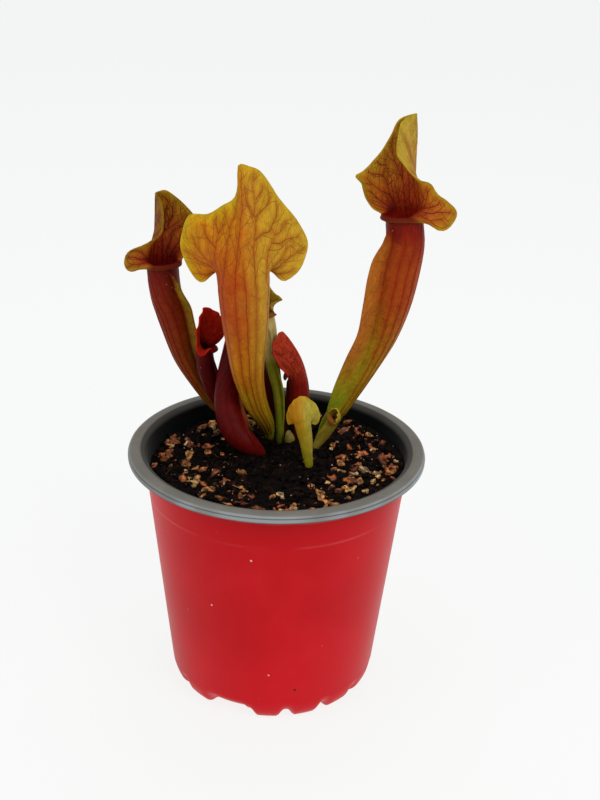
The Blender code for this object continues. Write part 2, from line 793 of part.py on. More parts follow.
def rod_mesh(name, points, radii, sides_resolution):
    """A closed round rod through points, with a radius at each, made from a curve."""
    curve = bpy.data.curves.new(name + "_curve", "CURVE")
    curve.dimensions = "3D"
    curve.bevel_depth = MM
    curve.bevel_resolution = sides_resolution
    curve.use_fill_caps = True
    spline = curve.splines.new("POLY")
    spline.points.add(len(points) - 1)
    for knot, point, radius in zip(spline.points, points, radii):
        knot.co = (point[0] * MM, point[1] * MM, point[2] * MM, 1.0)
        knot.radius = radius
    made = bpy.data.objects.new(name + "_curve", curve)
    bpy.context.scene.collection.objects.link(made)
    mesh = evaluated_mesh(made, name)
    shape = bmesh.new()
    shape.from_mesh(mesh)
    bmesh.ops.remove_doubles(shape, verts=shape.verts, dist=0.000001)
    shape.to_mesh(mesh)
    shape.free()
    return mesh


RHIZOME_PATHS = (
    # x, y and radius share along the front and side branches, then the bud on the crown
    ((14.0, -3.0, 0.75), (7.0, 1.5, 0.9), (-2.0, 6.5, 1.0), (-6.0, 14.0, 1.05), (-8.0, 22.5, 1.1),
     (-9.5, 29.5, 0.8)),
    ((-5.0, 24.5, 0.85), (3.0, 26.5, 1.05), (10.5, 25.5, 1.0), (17.5, 20.5, 0.8)),
)
BUD = ((5.2, 24.0, 87.0, 1.6), (5.6, 21.5, 94.0, 1.7), (5.0, 20.0, 98.5, 2.2), (4.6, 19.6, 101.0, 1.7),
       (4.4, 19.6, 103.0, 0.8))


def rhizome_meshes(grow):
    """The rhizome's rods, each made thicker by grow."""
    rods = []
    for number, path in enumerate(RHIZOME_PATHS):
        points = [(x, y, RHIZOME_DEPTH) for x, y, _ in path]
        radii = [RHIZOME_RADIUS * share + grow for _, _, share in path]
        reach = Vector(points[0]) - Vector(points[1])
        points[0] = Vector(points[0]) + reach.normalized() * grow
        reach = Vector(points[-1]) - Vector(points[-2])
        points[-1] = Vector(points[-1]) + reach.normalized() * grow
        rods.append(rod_mesh(f"rhizome_{number}", points, radii, 2))
    points = [Vector(point[:3]) for point in BUD]
    rods.append(rod_mesh("crown_bud", points, [point[3] + grow for point in BUD], 2))
    return rods


def join_by_union(name, meshes, place, finish):
    """Fuse closed meshes into one named object with one Boolean union, applied."""
    group = collection(name + "_union")
    for mesh in meshes[1:]:
        add_object(mesh.name, mesh, group)
    made = add_object(name, meshes[0], place)
    union = made.modifiers.new("Union", "BOOLEAN")
    union.operation = "UNION"
    union.operand_type = "COLLECTION"
    union.collection = group
    bpy.context.view_layer.update()
    graph = bpy.context.evaluated_depsgraph_get()
    fused = bpy.data.meshes.new_from_object(made.evaluated_get(graph))
    made.modifiers.clear()
    for thing in list(group.objects):
        bpy.data.objects.remove(thing, do_unlink=True)
    bpy.data.collections.remove(group)
    fused.name = name
    made.data = fused
    fused.materials.clear()
    fused.materials.append(finish)
    fused.shade_smooth()
    return made


def stem_hole(leaf):
    """A plain round hole in the soil around a leaf's foot."""
    surface = LeafSurface(leaf)
    samples = [surface.frame(k / 100) for k in range(0, 60)]
    buried = [sample for sample in samples if sample[0].z < SOIL_LEVEL + 3.5]
    foot, top = buried[0][0], buried[-1][0]
    axis = (top - foot).normalized()
    widest = 0.0
    for centre, radius, wing, *_ in buried:
        off = (centre - foot) - axis * (centre - foot).dot(axis)
        widest = max(widest, off.length + radius + 0.5 * wing)
    start = foot - axis * (2 * GAP + 0.3)
    end = top + axis * 6.0
    shape = bmesh.new()
    turn = axis.to_track_quat("Z", "Y").to_matrix().to_4x4()
    middle = Matrix.Translation((start + end) / 2 * MM)
    bmesh.ops.create_cone(
        shape,
        cap_ends=True,
        segments=12,
        radius1=(widest + HOLE_CLEARANCE) * MM,
        radius2=(widest + HOLE_CLEARANCE) * MM,
        depth=(end - start).length * MM,
        matrix=middle @ turn,
    )
    mesh = bpy.data.meshes.new(leaf.name + "_hole")
    shape.to_mesh(mesh)
    shape.free()
    return mesh


def build_pot(place):
    """Pot: the turned sheet with its thickness."""
    made = add_object("pot", pot_mesh(), place, material("pot_red", (0.52, 0.012, 0.02), 0.45))
    solid = made.modifiers.new("Solidify", "SOLIDIFY")
    solid.thickness = SHEET * MM
    solid.offset = 1.0
    solid.use_even_offset = True
    made.data.shade_smooth()
    return made


def build_soil(place, cutters):
    """Soil with holes for the stems and room for the rhizome."""
    made = add_object("soil", soil_mesh(), place, material("peat", (0.012, 0.008, 0.006), 0.9))
    for mesh in rhizome_meshes(GAP):
        add_cutter(mesh, cutters)
    for leaf in LEAVES:
        add_cutter(stem_hole(leaf), cutters)
    cut = made.modifiers.new("Holes", "BOOLEAN")
    cut.operation = "DIFFERENCE"
    cut.operand_type = "COLLECTION"
    cut.collection = cutters
    return made


def add_cutter(mesh, cutters):
    """Link a mesh as a cutter that is only drawn as wire."""
    made = add_object(mesh.name + "_cutter", mesh, cutters)
    made.hide_render = True
    made.display_type = "WIRE"
    return made


def build_leaf(leaf, place):
    """One pitcher."""
    return add_object(leaf.name, leaf_mesh(leaf), place, material(leaf.name, leaf.colour, 0.4))


def main():
    """Build the potted plant."""
    clear_scene()
    plant = collection("potted_pitcher_plant")
    cutters = collection("cutters")
    build_pot(plant)
    build_soil(plant, cutters)
    rhizome = material("rhizome_brown", (0.05, 0.025, 0.015), 0.8)
    join_by_union("rhizome", rhizome_meshes(0.0), plant, rhizome)
    for leaf in LEAVES:
        build_leaf(leaf, plant)


main()
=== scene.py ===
"""Dress a potted pitcher plant: ten netted leaves, peat with bark chips and a moulded pot.

Shapes are worked out in millimetres and scaled to metres by MM when they enter a mesh. The
pot's axis is Z, and -Y is the side that the plant is seen from.
"""

import logging
import math
import random
from collections.abc import Callable
from dataclasses import dataclass, replace
from enum import Enum

import bmesh
import bpy
from mathutils import Matrix, Vector, noise
from mathutils.kdtree import KDTree

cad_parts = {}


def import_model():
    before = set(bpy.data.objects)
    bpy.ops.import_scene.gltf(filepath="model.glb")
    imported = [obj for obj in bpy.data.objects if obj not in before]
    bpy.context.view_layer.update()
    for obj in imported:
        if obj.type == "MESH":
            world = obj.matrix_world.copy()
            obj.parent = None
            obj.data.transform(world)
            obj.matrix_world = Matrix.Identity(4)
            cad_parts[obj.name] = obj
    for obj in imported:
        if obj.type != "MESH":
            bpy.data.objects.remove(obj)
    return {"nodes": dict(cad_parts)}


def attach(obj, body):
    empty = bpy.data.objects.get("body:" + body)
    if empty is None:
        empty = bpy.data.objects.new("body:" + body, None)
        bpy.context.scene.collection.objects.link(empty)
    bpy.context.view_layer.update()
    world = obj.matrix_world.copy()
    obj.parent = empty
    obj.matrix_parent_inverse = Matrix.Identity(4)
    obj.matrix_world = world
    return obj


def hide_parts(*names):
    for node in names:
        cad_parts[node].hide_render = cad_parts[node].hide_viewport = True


LOG = logging.getLogger("pitcher_plant")
MM = 0.001
Keys = tuple[tuple[float, ...], ...]
Colour = tuple[float, float, float]
Socket = bpy.types.NodeSocket
Shape = bmesh.types.BMesh


def smoothstep(low: float, high: float, value: float) -> float:
    """Ease from 0 at low to 1 at high.

    Args:
        low: Value at which the result leaves 0.
        high: Value at which the result reaches 1.
        value: Value to ease.

    Returns:
        The eased share.
    """
    share = min(1.0, max(0.0, (value - low) / (high - low)))
    return share * share * (3 - 2 * share)


def smooth_key(keys: Keys, place: float) -> Vector:
    """Find a point on the smooth curve through keys.

    Args:
        keys: A parameter and its values for each key, in order.
        place: Parameter of the wanted point.

    Returns:
        The values there.
    """
    if place <= keys[0][0]:
        return Vector(keys[0][1:])
    if place >= keys[-1][0]:
        return Vector(keys[-1][1:])
    i = max(k for k in range(len(keys) - 1) if keys[k][0] <= place)

    def slope(k: int) -> Vector:
        """Give the curve's slope at key k."""
        before = keys[max(k - 1, 0)]
        after = keys[min(k + 1, len(keys) - 1)]
        return (Vector(after[1:]) - Vector(before[1:])) / (after[0] - before[0])

    step = keys[i + 1][0] - keys[i][0]
    f = (place - keys[i][0]) / step
    start, end = Vector(keys[i][1:]), Vector(keys[i + 1][1:])
    return (
        start * (2 * f**3 - 3 * f**2 + 1)
        + slope(i) * step * (f**3 - 2 * f**2 + f)
        + end * (3 * f**2 - 2 * f**3)
        + slope(i + 1) * step * (f**3 - f**2)
    )


def eased(keys: Keys, place: float) -> float:
    """Ease a single value from key to key.

    Args:
        keys: A parameter and one value for each key, in order.
        place: Parameter of the wanted value.

    Returns:
        The value there.
    """
    value = keys[0][1]
    for before, after in zip(keys, keys[1:]):
        value += (after[1] - before[1]) * smoothstep(before[0], after[0], place)
    return value


def search_tree(spots: list[Vector]) -> KDTree:
    """Sort places for a search by distance.

    Args:
        spots: The places.

    Returns:
        The search tree.
    """
    tree = KDTree(len(spots))
    for k, spot in enumerate(spots):
        tree.insert(spot, k)
    tree.balance()
    return tree


def finish_mesh(name: str, shape: Shape, material: bpy.types.Material) -> bpy.types.Object:
    """Turn a bmesh in millimetres into a smooth piece that rides on the pot.

    Args:
        name: Name of the piece.
        shape: Shape in millimetres, freed here.
        material: Finish of the piece.

    Returns:
        The new object, at the origin.
    """
    bmesh.ops.scale(shape, vec=(MM, MM, MM), verts=shape.verts)
    mesh = bpy.data.meshes.new(name)
    shape.to_mesh(mesh)
    shape.free()
    mesh.shade_smooth()
    mesh.materials.append(material)
    piece = bpy.data.objects.new(name, mesh)
    bpy.context.scene.collection.objects.link(piece)
    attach(piece, "root")
    LOG.info("%s: %d faces", name, len(mesh.polygons))
    return piece


class Graph:
    """Small helper that lays out the nodes of one procedural material."""

    def __init__(self, name: str) -> None:
        """Start a material with its Principled shader.

        Args:
            name: Name of the material.
        """
        self.material = bpy.data.materials.new(name)
        self.material.use_nodes = True
        self.tree = self.material.node_tree
        self.shader = self.tree.nodes["Principled BSDF"]

    def node(self, kind: str, settings: dict | None = None, **inputs: object) -> bpy.types.Node:
        """Add a node.

        Args:
            kind: Blender's name for the node type, without ShaderNode.
            settings: Properties of the node.
            inputs: Values or sockets for its inputs, spaces written as underscores.

        Returns:
            The node.
        """
        made = self.tree.nodes.new("ShaderNode" + kind)
        for key, value in (settings or {}).items():
            setattr(made, key, value)
        for key, value in inputs.items():
            self.feed(made.inputs[key.replace("_", " ")], value)
        return made

    def feed(self, socket: Socket, value: object) -> None:
        """Set a socket to a constant or link it.

        Args:
            socket: Input to set.
            value: A socket to link from, or a constant.
        """
        if isinstance(value, Socket):
            self.tree.links.new(value, socket)
        elif isinstance(value, tuple) and len(value) == 3 and socket.type == "RGBA":
            socket.default_value = (*value, 1.0)
        else:
            socket.default_value = value

    def math(self, kind: str, *values: object) -> Socket:
        """Add a Math node.

        Args:
            kind: Its operation.
            values: Its inputs, in order.

        Returns:
            Its output.
        """
        made = self.tree.nodes.new("ShaderNodeMath")
        made.operation = kind
        for socket, value in zip(made.inputs, values):
            self.feed(socket, value)
        return made.outputs[0]

    def times(self, first: object, second: object) -> Socket:
        """Multiply two values."""
        return self.math("MULTIPLY", first, second)

    def plus(self, first: object, second: object) -> Socket:
        """Add two values."""
        return self.math("ADD", first, second)

    def less(self, first: object, second: object) -> Socket:
        """Take the second value from the first."""
        return self.math("SUBTRACT", first, second)

    def most(self, first: object, second: object) -> Socket:
        """Give the larger of two values."""
        return self.math("MAXIMUM", first, second)

    def uv(self, name: str) -> Socket:
        """Give the coordinates of a UV map."""
        return self.node("UVMap", {"uv_map": name}).outputs["UV"]

    def shade(self, **inputs: object) -> bpy.types.Material:
        """Set inputs of the shader, spaces written as underscores.

        Args:
            inputs: Values or sockets for its inputs.

        Returns:
            The material.
        """
        for key, value in inputs.items():
            self.feed(self.shader.inputs[key.replace("_", " ")], value)
        return self.material

    def ease(self, value: object, low: float, high: float) -> Socket:
        """Ease a value to a share between 0 and 1.

        Args:
            value: Socket to ease.
            low: Value that gives 0.
            high: Value that gives 1.

        Returns:
            The share's output.
        """
        made = self.node("MapRange", {"interpolation_type": "SMOOTHSTEP"})
        if low < high:
            ends = (low, high, 0.0, 1.0)
        else:
            ends = (high, low, 1.0, 0.0)
        self.feed(made.inputs["Value"], value)
        for key, number in zip(("From Min", "From Max", "To Min", "To Max"), ends):
            made.inputs[key].default_value = number
        return made.outputs["Result"]

    def mix(self, share: object, under: object, over: object, blend: str = "MIX") -> Socket:
        """Mix two colours.

        Args:
            share: How much of the second one shows.
            under: First colour.
            over: Second colour.
            blend: How they are blended.

        Returns:
            The mixed colour's output.
        """
        made = self.tree.nodes.new("ShaderNodeMix")
        made.data_type = "RGBA"
        made.blend_type = blend
        self.feed(made.inputs[0], share)
        self.feed(made.inputs[6], under)
        self.feed(made.inputs[7], over)
        return made.outputs[2]

    def ramp(self, value: object, stops: tuple[tuple[float, Colour], ...]) -> Socket:
        """Colour a value by a ramp.

        Args:
            value: Value to colour.
            stops: Position and colour of each stop.

        Returns:
            The colour's output.
        """
        made = self.tree.nodes.new("ShaderNodeValToRGB")
        made.color_ramp.interpolation = "EASE"
        elements = made.color_ramp.elements
        while len(elements) < len(stops):
            elements.new(1.0)
        for element, (place, colour) in zip(elements, stops):
            element.position = place
            element.color = (*colour, 1.0)
        self.feed(made.inputs[0], value)
        return made.outputs[0]

    def noise(self, vector: object, scale: float, detail: float = 3.0, rough: float = 0.5) -> Socket:
        """Give a noise texture's factor, with its scale, octaves and roughness."""
        return self.node("TexNoise", Vector=vector, Scale=scale, Detail=detail, Roughness=rough).outputs[0]

    def shifted(self, vector: object, scale: float, amount: float) -> Socket:
        """Shift coordinates by a smooth noise, so that what reads them wanders.

        Args:
            vector: Coordinates to shift.
            scale: Scale of the noise.
            amount: Largest shift.

        Returns:
            The shifted coordinates.
        """
        wander = self.node("TexNoise", Vector=vector, Scale=scale, Detail=2.0)
        centred = self.node("VectorMath", {"operation": "SUBTRACT"})
        self.feed(centred.inputs[0], wander.outputs["Color"])
        centred.inputs[1].default_value = (0.5, 0.5, 0.5)
        grown = self.node("VectorMath", {"operation": "SCALE"})
        self.feed(grown.inputs[0], centred.outputs[0])
        grown.inputs["Scale"].default_value = amount
        added = self.node("VectorMath", {"operation": "ADD"})
        self.feed(added.inputs[0], vector)
        self.feed(added.inputs[1], grown.outputs[0])
        return added.outputs[0]

    def object_place(self) -> Socket:
        """Give the Object coordinates."""
        return self.node("TexCoord").outputs["Object"]

    def attribute(self, name: str) -> Socket:
        """Give the value that the piece carries under a name."""
        return self.node("Attribute", {"attribute_name": name}).outputs["Fac"]

    def bump(self, height: object, strength: float, distance: float) -> Socket:
        """Give the normal bumped by a share of a height, where 1 is the distance in metres."""
        return self.node("Bump", Strength=strength, Distance=distance, Height=height).outputs["Normal"]


@dataclass(frozen=True)
class LeafFinish:
    """Colours of one leaf, as stops over its height: 0 foot, 0.5 mouth, 1 free edge."""

    name: str
    outside: tuple[tuple[float, Colour], ...]
    inside: tuple[tuple[float, Colour], ...]
    vein: Colour
    # share by which veins show below the mouth, above it outside, and inside
    vein_share: tuple[float, float, float] = (0.5, 0.85, 0.9)
    net_share: tuple[float, float, float] = (0.25, 0.4, 0.5)
    glow: Colour | None = None
    glow_share: float = 0.35
    # colour laid over the side of the leaf where the columns are positive
    flank: Colour | None = None
    flank_share: float = 0.0
    wing: Colour | None = None
    margin: Colour | None = None
    lip: Colour | None = None
    # colour of the roots of the hood's lobes
    blush: Colour | None = None
    roughness: float = 0.44
    gloss: float = 0.06

    def make(self) -> bpy.types.Material:
        """Build the material.

        Returns:
            The leaf's material.
        """
        g = Graph(self.name)
        flow = g.uv("flow")
        span = g.uv("span")
        flow_parts = g.node("SeparateXYZ", Vector=flow)
        across, height = flow_parts.outputs["X"], flow_parts.outputs["Y"]
        edge, inner, lip = g.attribute("edge"), g.attribute("inner"), g.attribute("lip")
        outer = g.less(1.0, inner)
        above = g.ease(height, 0.46, 0.53)
        place = g.object_place()
        broad = g.noise(place, 70.0, 3.0)
        uneven = g.plus(height, g.times(g.less(broad, 0.5), 0.14))
        colour = g.mix(inner, g.ramp(uneven, self.outside), g.ramp(uneven, self.inside))
        if self.flank is not None:
            shaken = g.plus(across, g.times(g.less(broad, 0.5), 0.3))
            side = g.times(g.ease(shaken, -0.1, 0.22), self.flank_share)
            side = g.times(side, g.ease(height, 0.16, 0.34))
            colour = g.mix(g.times(side, outer), colour, self.flank)
        if self.wing is not None:
            keel = g.times(g.ease(g.math("ABSOLUTE", across), 0.78, 0.86), g.ease(height, 0.49, 0.44))
            keel = g.times(keel, g.ease(height, 0.10, 0.26))
            colour = g.mix(g.times(keel, outer), colour, self.wing)
        mottle = g.noise(place, 420.0, 5.0, 0.62)
        patches = g.noise(span, 3.2, 4.0, 0.6)
        if self.glow is not None:
            halo = g.times(g.ease(g.attribute("vein"), 2.2, 0.0), self.glow_share)
            halo = g.times(halo, g.plus(g.times(patches, 1.1), 0.35))
            colour = g.mix(halo, colour, self.glow)
        if self.margin is not None:
            rim = g.times(g.ease(edge, 2.0, 0.2), above)
            colour = g.mix(g.times(rim, 0.45), colour, self.margin)
        if self.blush is not None:
            near = g.times(g.ease(g.math("ABSOLUTE", across), 0.26, 0.46), g.ease(height, 0.80, 0.55))
            colour = g.mix(g.times(g.times(near, above), 0.9), colour, self.blush)
        veins = self.veins(g, span, above, inner)
        colour = g.mix(veins, colour, self.vein)
        shade = g.ease(mottle, 0.28, 0.72)
        colour = g.mix(0.30, colour, g.mix(shade, (0.42, 0.38, 0.34), (1.0, 1.0, 1.0)), "MULTIPLY")
        blotch = g.ease(patches, 0.35, 0.68)
        colour = g.mix(0.28, colour, g.mix(blotch, (0.55, 0.42, 0.35), (1.0, 1.0, 1.0)), "MULTIPLY")
        specks = g.node("TexVoronoi", Vector=place, Scale=330.0)
        spot = g.times(g.ease(specks.outputs["Distance"], 0.13, 0.07), g.ease(broad, 0.56, 0.6))
        colour = g.mix(g.times(spot, 0.28), colour, (0.62, 0.42, 0.22))
        if self.lip is not None:
            colour = g.mix(g.times(lip, 0.92), colour, self.lip)
        fine = g.noise(place, 1500.0, 2.0)
        rough = g.plus(g.times(mottle, 0.24), self.roughness - 0.10)
        relief = g.plus(g.times(veins, -0.5), g.times(fine, 0.22))
        return g.shade(
            Base_Color=colour, Roughness=rough, Normal=g.bump(relief, 0.55, 0.0004), Subsurface_Weight=0.12,
            Subsurface_Radius=(1.0, 0.3, 0.04), Subsurface_Scale=0.0012, Specular_IOR_Level=self.gloss,
        )

    def veins(self, g: Graph, span: object, above: object, inner: object) -> Socket:
        """Lay out the leaf's long veins, their branches and the net between them.

        Args:
            g: Graph to add to.
            span: Surface coordinates in centimetres.
            above: 1 on the hood, 0 on the tube.
            inner: 1 inside the leaf, 0 outside.

        Returns:
            How much vein shows.
        """
        ribs = g.ease(g.attribute("rib"), 0.06, 0.72)
        net_place = g.node("Mapping", Vector=g.shifted(span, 3.0, 0.2))
        net_place.inputs["Scale"].default_value = (5.2, 3.4, 1.0)
        net = g.node("TexVoronoi", {"feature": "DISTANCE_TO_EDGE"}, Vector=net_place.outputs[0], Scale=1.0)
        mesh = g.ease(net.outputs["Distance"], 0.10, 0.015)
        streak_place = g.node("Mapping", Vector=g.shifted(span, 2.0, 0.1))
        streak_place.inputs["Scale"].default_value = (7.0, 0.8, 1.0)
        streaks = g.ease(g.noise(streak_place.outputs[0], 1.0, 3.0, 0.6), 0.52, 0.66)
        netted = g.most(mesh, g.times(streaks, 0.8))
        patchy = g.plus(g.times(g.ease(g.noise(span, 1.5, 2.0), 0.35, 0.62), 0.7), 0.3)
        netted = g.times(netted, patchy)
        long_share = self.by_place(g, self.vein_share, above, inner)
        net_share = self.by_place(g, self.net_share, above, inner)
        long_veins = g.times(ribs, long_share)
        return g.most(long_veins, g.times(netted, net_share))

    def by_place(self, g: Graph, shares: tuple[float, float, float], above: object, inner: object) -> object:
        """Blend the shares of the tube, the hood's outside and the inside by place."""
        outside = g.plus(g.times(above, shares[1] - shares[0]), shares[0])
        return g.plus(g.times(g.less(shares[2], outside), inner), outside)


@dataclass(frozen=True)
class LeafForm:
    """Sizes of one pitcher: a tube along a spine that opens into a lip and a hood.

    Lengths are in millimetres. The spine holds x, y, z, tube radius and wing width. The
    facing holds a share of the length and the direction of the winged side in degrees. The
    hood holds a column and a point of its edge, and the folds a column and an offset.
    """

    name: str
    spine: Keys
    facing: Keys
    finish: LeafFinish
    hood: Keys = ()
    folds: Keys = ()
    plain_hood: tuple[float, float, float] = (1.0, 1.0, 1.0)
    arch: tuple[float, float] = (0.35, 0.0)
    wall: float = 0.7
    columns: int = 96
    tube_rows: int = 90
    hood_rows: int = 44
    # long veins, each a line of column and height, where 1 is the mouth and 2 the edge
    veins: tuple[Keys, ...] = ()
    # half width of a long vein, and the distance between its branches
    vein_size: tuple[float, float] = (0.44, 5.6)
    pucker: float = 0.16
    # waves of the hood's free edge: count and height
    wave: tuple[float, float] = (7.0, 0.35)


class LeafSurface:
    """The outside of one pitcher as a function of column u and height along it."""

    WING_THICKNESS = 0.8
    WING_ROOT = 0.8
    WING_CORNER = 0.9
    LIP_WIDTH = 1.35
    LIP_HEIGHT = 0.8
    LIP_DROP = 0.5
    LIP_BLEND = 0.14
    PLAIN_EDGE = (
        (0.62, 1.18, 0.40, -0.15),
        (0.53, 1.70, 0.70, -0.25),
        (0.42, 2.00, 1.00, 0.67),
        (0.28, 1.70, 1.15, 1.80),
        (0.14, 1.03, 1.10, 2.80),
        (0.0, 0.0, 1.00, 3.20),
    )

    def __init__(self, form: LeafForm) -> None:
        """Prepare the curves of a leaf.

        Args:
            form: Sizes of the leaf.
        """
        self.form = form
        travelled = 0.0
        keys = [(0.0, *form.spine[0])]
        for before, after in zip(form.spine, form.spine[1:]):
            travelled += (Vector(after[:3]) - Vector(before[:3])).length
            keys.append((travelled, *after))
        self.length = travelled
        self.keys = [(key[0] / travelled, *key[1:]) for key in keys]
        self.mouth = self.frame(1.0)
        hood = form.hood or self.plain_hood()
        self.reach = (hood[0][0] - self.LIP_BLEND, hood[-1][0] + self.LIP_BLEND)
        lip = [(u, *self.lip_edge(u)) for u in self.reach]
        self.edge = [lip[0], *hood, lip[1]]

    def plain_hood(self) -> list[tuple[float, ...]]:
        """Give the edge of a heart shaped hood, scaled to the mouth."""
        centre, radius, _, along, back, side = self.mouth
        width, reach, height = self.form.plain_hood
        half = [(-u, -sideways, forward, up) for u, sideways, forward, up in self.PLAIN_EDGE]
        edge = []
        for u, sideways, forward, up in (*half, *reversed(self.PLAIN_EDGE[:-1])):
            away = side * sideways * width - back * forward * reach + along * up * height
            edge.append((u, *(centre + away * radius)))
        return edge

    def frame(self, s: float) -> tuple[Vector, float, float, Vector, Vector, Vector]:
        """Find the tube's section.

        Args:
            s: Share of the tube's length.

        Returns:
            Centre, radius, wing width and the along, back and side directions.
        """
        x, y, z, radius, wing = smooth_key(self.keys, s)
        ahead = smooth_key(self.keys, min(1.0, s + 0.02))
        behind = smooth_key(self.keys, max(0.0, s - 0.02))
        along = Vector(ahead[:3]) - Vector(behind[:3])
        along.normalize()
        turn = math.radians(eased(self.form.facing, s))
        front = Vector((math.sin(turn), -math.cos(turn), 0.0))
        front -= along * along.dot(front)
        front.normalize()
        back = -front
        return Vector((x, y, z)), radius, max(wing, 0.0), along, back, along.cross(back)

    def tube(self, section: tuple, u: float) -> Vector:
        """Find a point outside the tube, with its wing in front.

        Args:
            section: Frame of the tube there.
            u: Column, 0 at the back and 1 or -1 at the wing.

        Returns:
            The point.
        """
        centre, radius, wing, _, back, side = section
        half = self.WING_THICKNESS / 2
        spread = abs(u)
        if spread <= self.WING_ROOT:
            turn = (math.pi - math.asin(half / radius)) * spread / self.WING_ROOT
            reach = radius
        else:
            out = (spread - self.WING_CORNER) / (1 - self.WING_CORNER)
            if out <= 0:
                forward = radius + wing * (spread - self.WING_ROOT) / (self.WING_CORNER - self.WING_ROOT)
                sideways = half
            else:
                forward = radius + wing + half * out * 0.5
                sideways = half * (1 - out)
            turn = math.pi - math.atan2(sideways, forward)
            reach = math.hypot(sideways, forward)
        share = smoothstep(0.0, 1.2, wing)
        turn = math.copysign(math.pi * spread * (1 - share) + turn * share, u)
        reach = radius * (1 - share) + reach * share
        return centre + (back * math.cos(turn) + side * math.sin(turn)) * reach

    def bore(self, section: tuple, u: float) -> Vector:
        """Find a point inside the tube.

        Args:
            section: Frame of the tube there.
            u: Column.

        Returns:
            The point.
        """
        centre, radius, _, _, back, side = section
        turn = math.pi * u
        return centre + (back * math.cos(turn) + side * math.sin(turn)) * (radius - self.form.wall)

    def lip_edge(self, u: float) -> Vector:
        """Find the outer edge of the rolled lip at column u."""
        centre, radius, _, along, back, side = self.mouth
        outward = back * math.cos(math.pi * u) + side * math.sin(math.pi * u)
        return centre + outward * (radius + self.LIP_WIDTH) - along * self.LIP_DROP

    def brim_curve(self, u: float) -> tuple[Vector, Vector, Vector, Vector]:
        """Find the curve from the mouth to the free edge.

        Args:
            u: Column.

        Returns:
            The curve's two ends, with its two handles between them.
        """
        centre, radius, _, along, back, side = self.mouth
        outward = back * math.cos(math.pi * u) + side * math.sin(math.pi * u)
        root = centre + outward * radius
        low, high = self.reach
        hooded = smoothstep(low, low + self.LIP_BLEND, u) * smoothstep(-high, self.LIP_BLEND - high, -u)
        end = smooth_key(self.edge, u) if low < u < high else self.lip_edge(u)
        rise, lift = self.form.arch
        span = (end - root).length
        near = root + along * (rise * span * hooded + self.LIP_HEIGHT * (1 - hooded))
        far = end.lerp(near, 0.35) + along * (lift * span)
        folds = self.form.folds
        if folds and folds[0][0] < u < folds[-1][0]:
            far += smooth_key(folds, u)
        far = (end + along * self.LIP_HEIGHT).lerp(far, hooded)
        return root, near, far, end

    def brim_point(self, curve: tuple[Vector, Vector, Vector, Vector], u: float, t: float) -> Vector:
        """Find a point of the hood or lip.

        Args:
            curve: The curve of its column.
            u: Column.
            t: Share of the way from the mouth to the free edge.

        Returns:
            The point.
        """
        rest = 1 - t
        share = (rest**3, 3 * rest**2 * t, 3 * rest * t**2, t**3)
        point = sum((knot * part for knot, part in zip(curve, share)), Vector())
        count, swell = self.form.wave
        hooded = 1 - smoothstep(0.5, 0.66, abs(u))
        shake = math.sin(u * count * 2 * math.pi + 3 * noise.noise(point * 0.12)) * swell
        return point + self.mouth[4] * shake * hooded * t**3

    def place(self, u: float, v: float) -> Vector:
        """Find a point of the outside.

        Args:
            u: Column.
            v: Height: 0 at the foot, 1 at the mouth, 2 at the free edge.

        Returns:
            The point.
        """
        if v <= 1:
            return self.tube(self.frame(max(0.0, v)), u)
        return self.brim_point(self.brim_curve(u), u, min(1.0, v - 1))


@dataclass
class VeinLine:
    """One vein: its places over the leaf, half its width and how dark it is."""

    points: list[tuple[float, float, Vector]]
    width: float
    strength: float


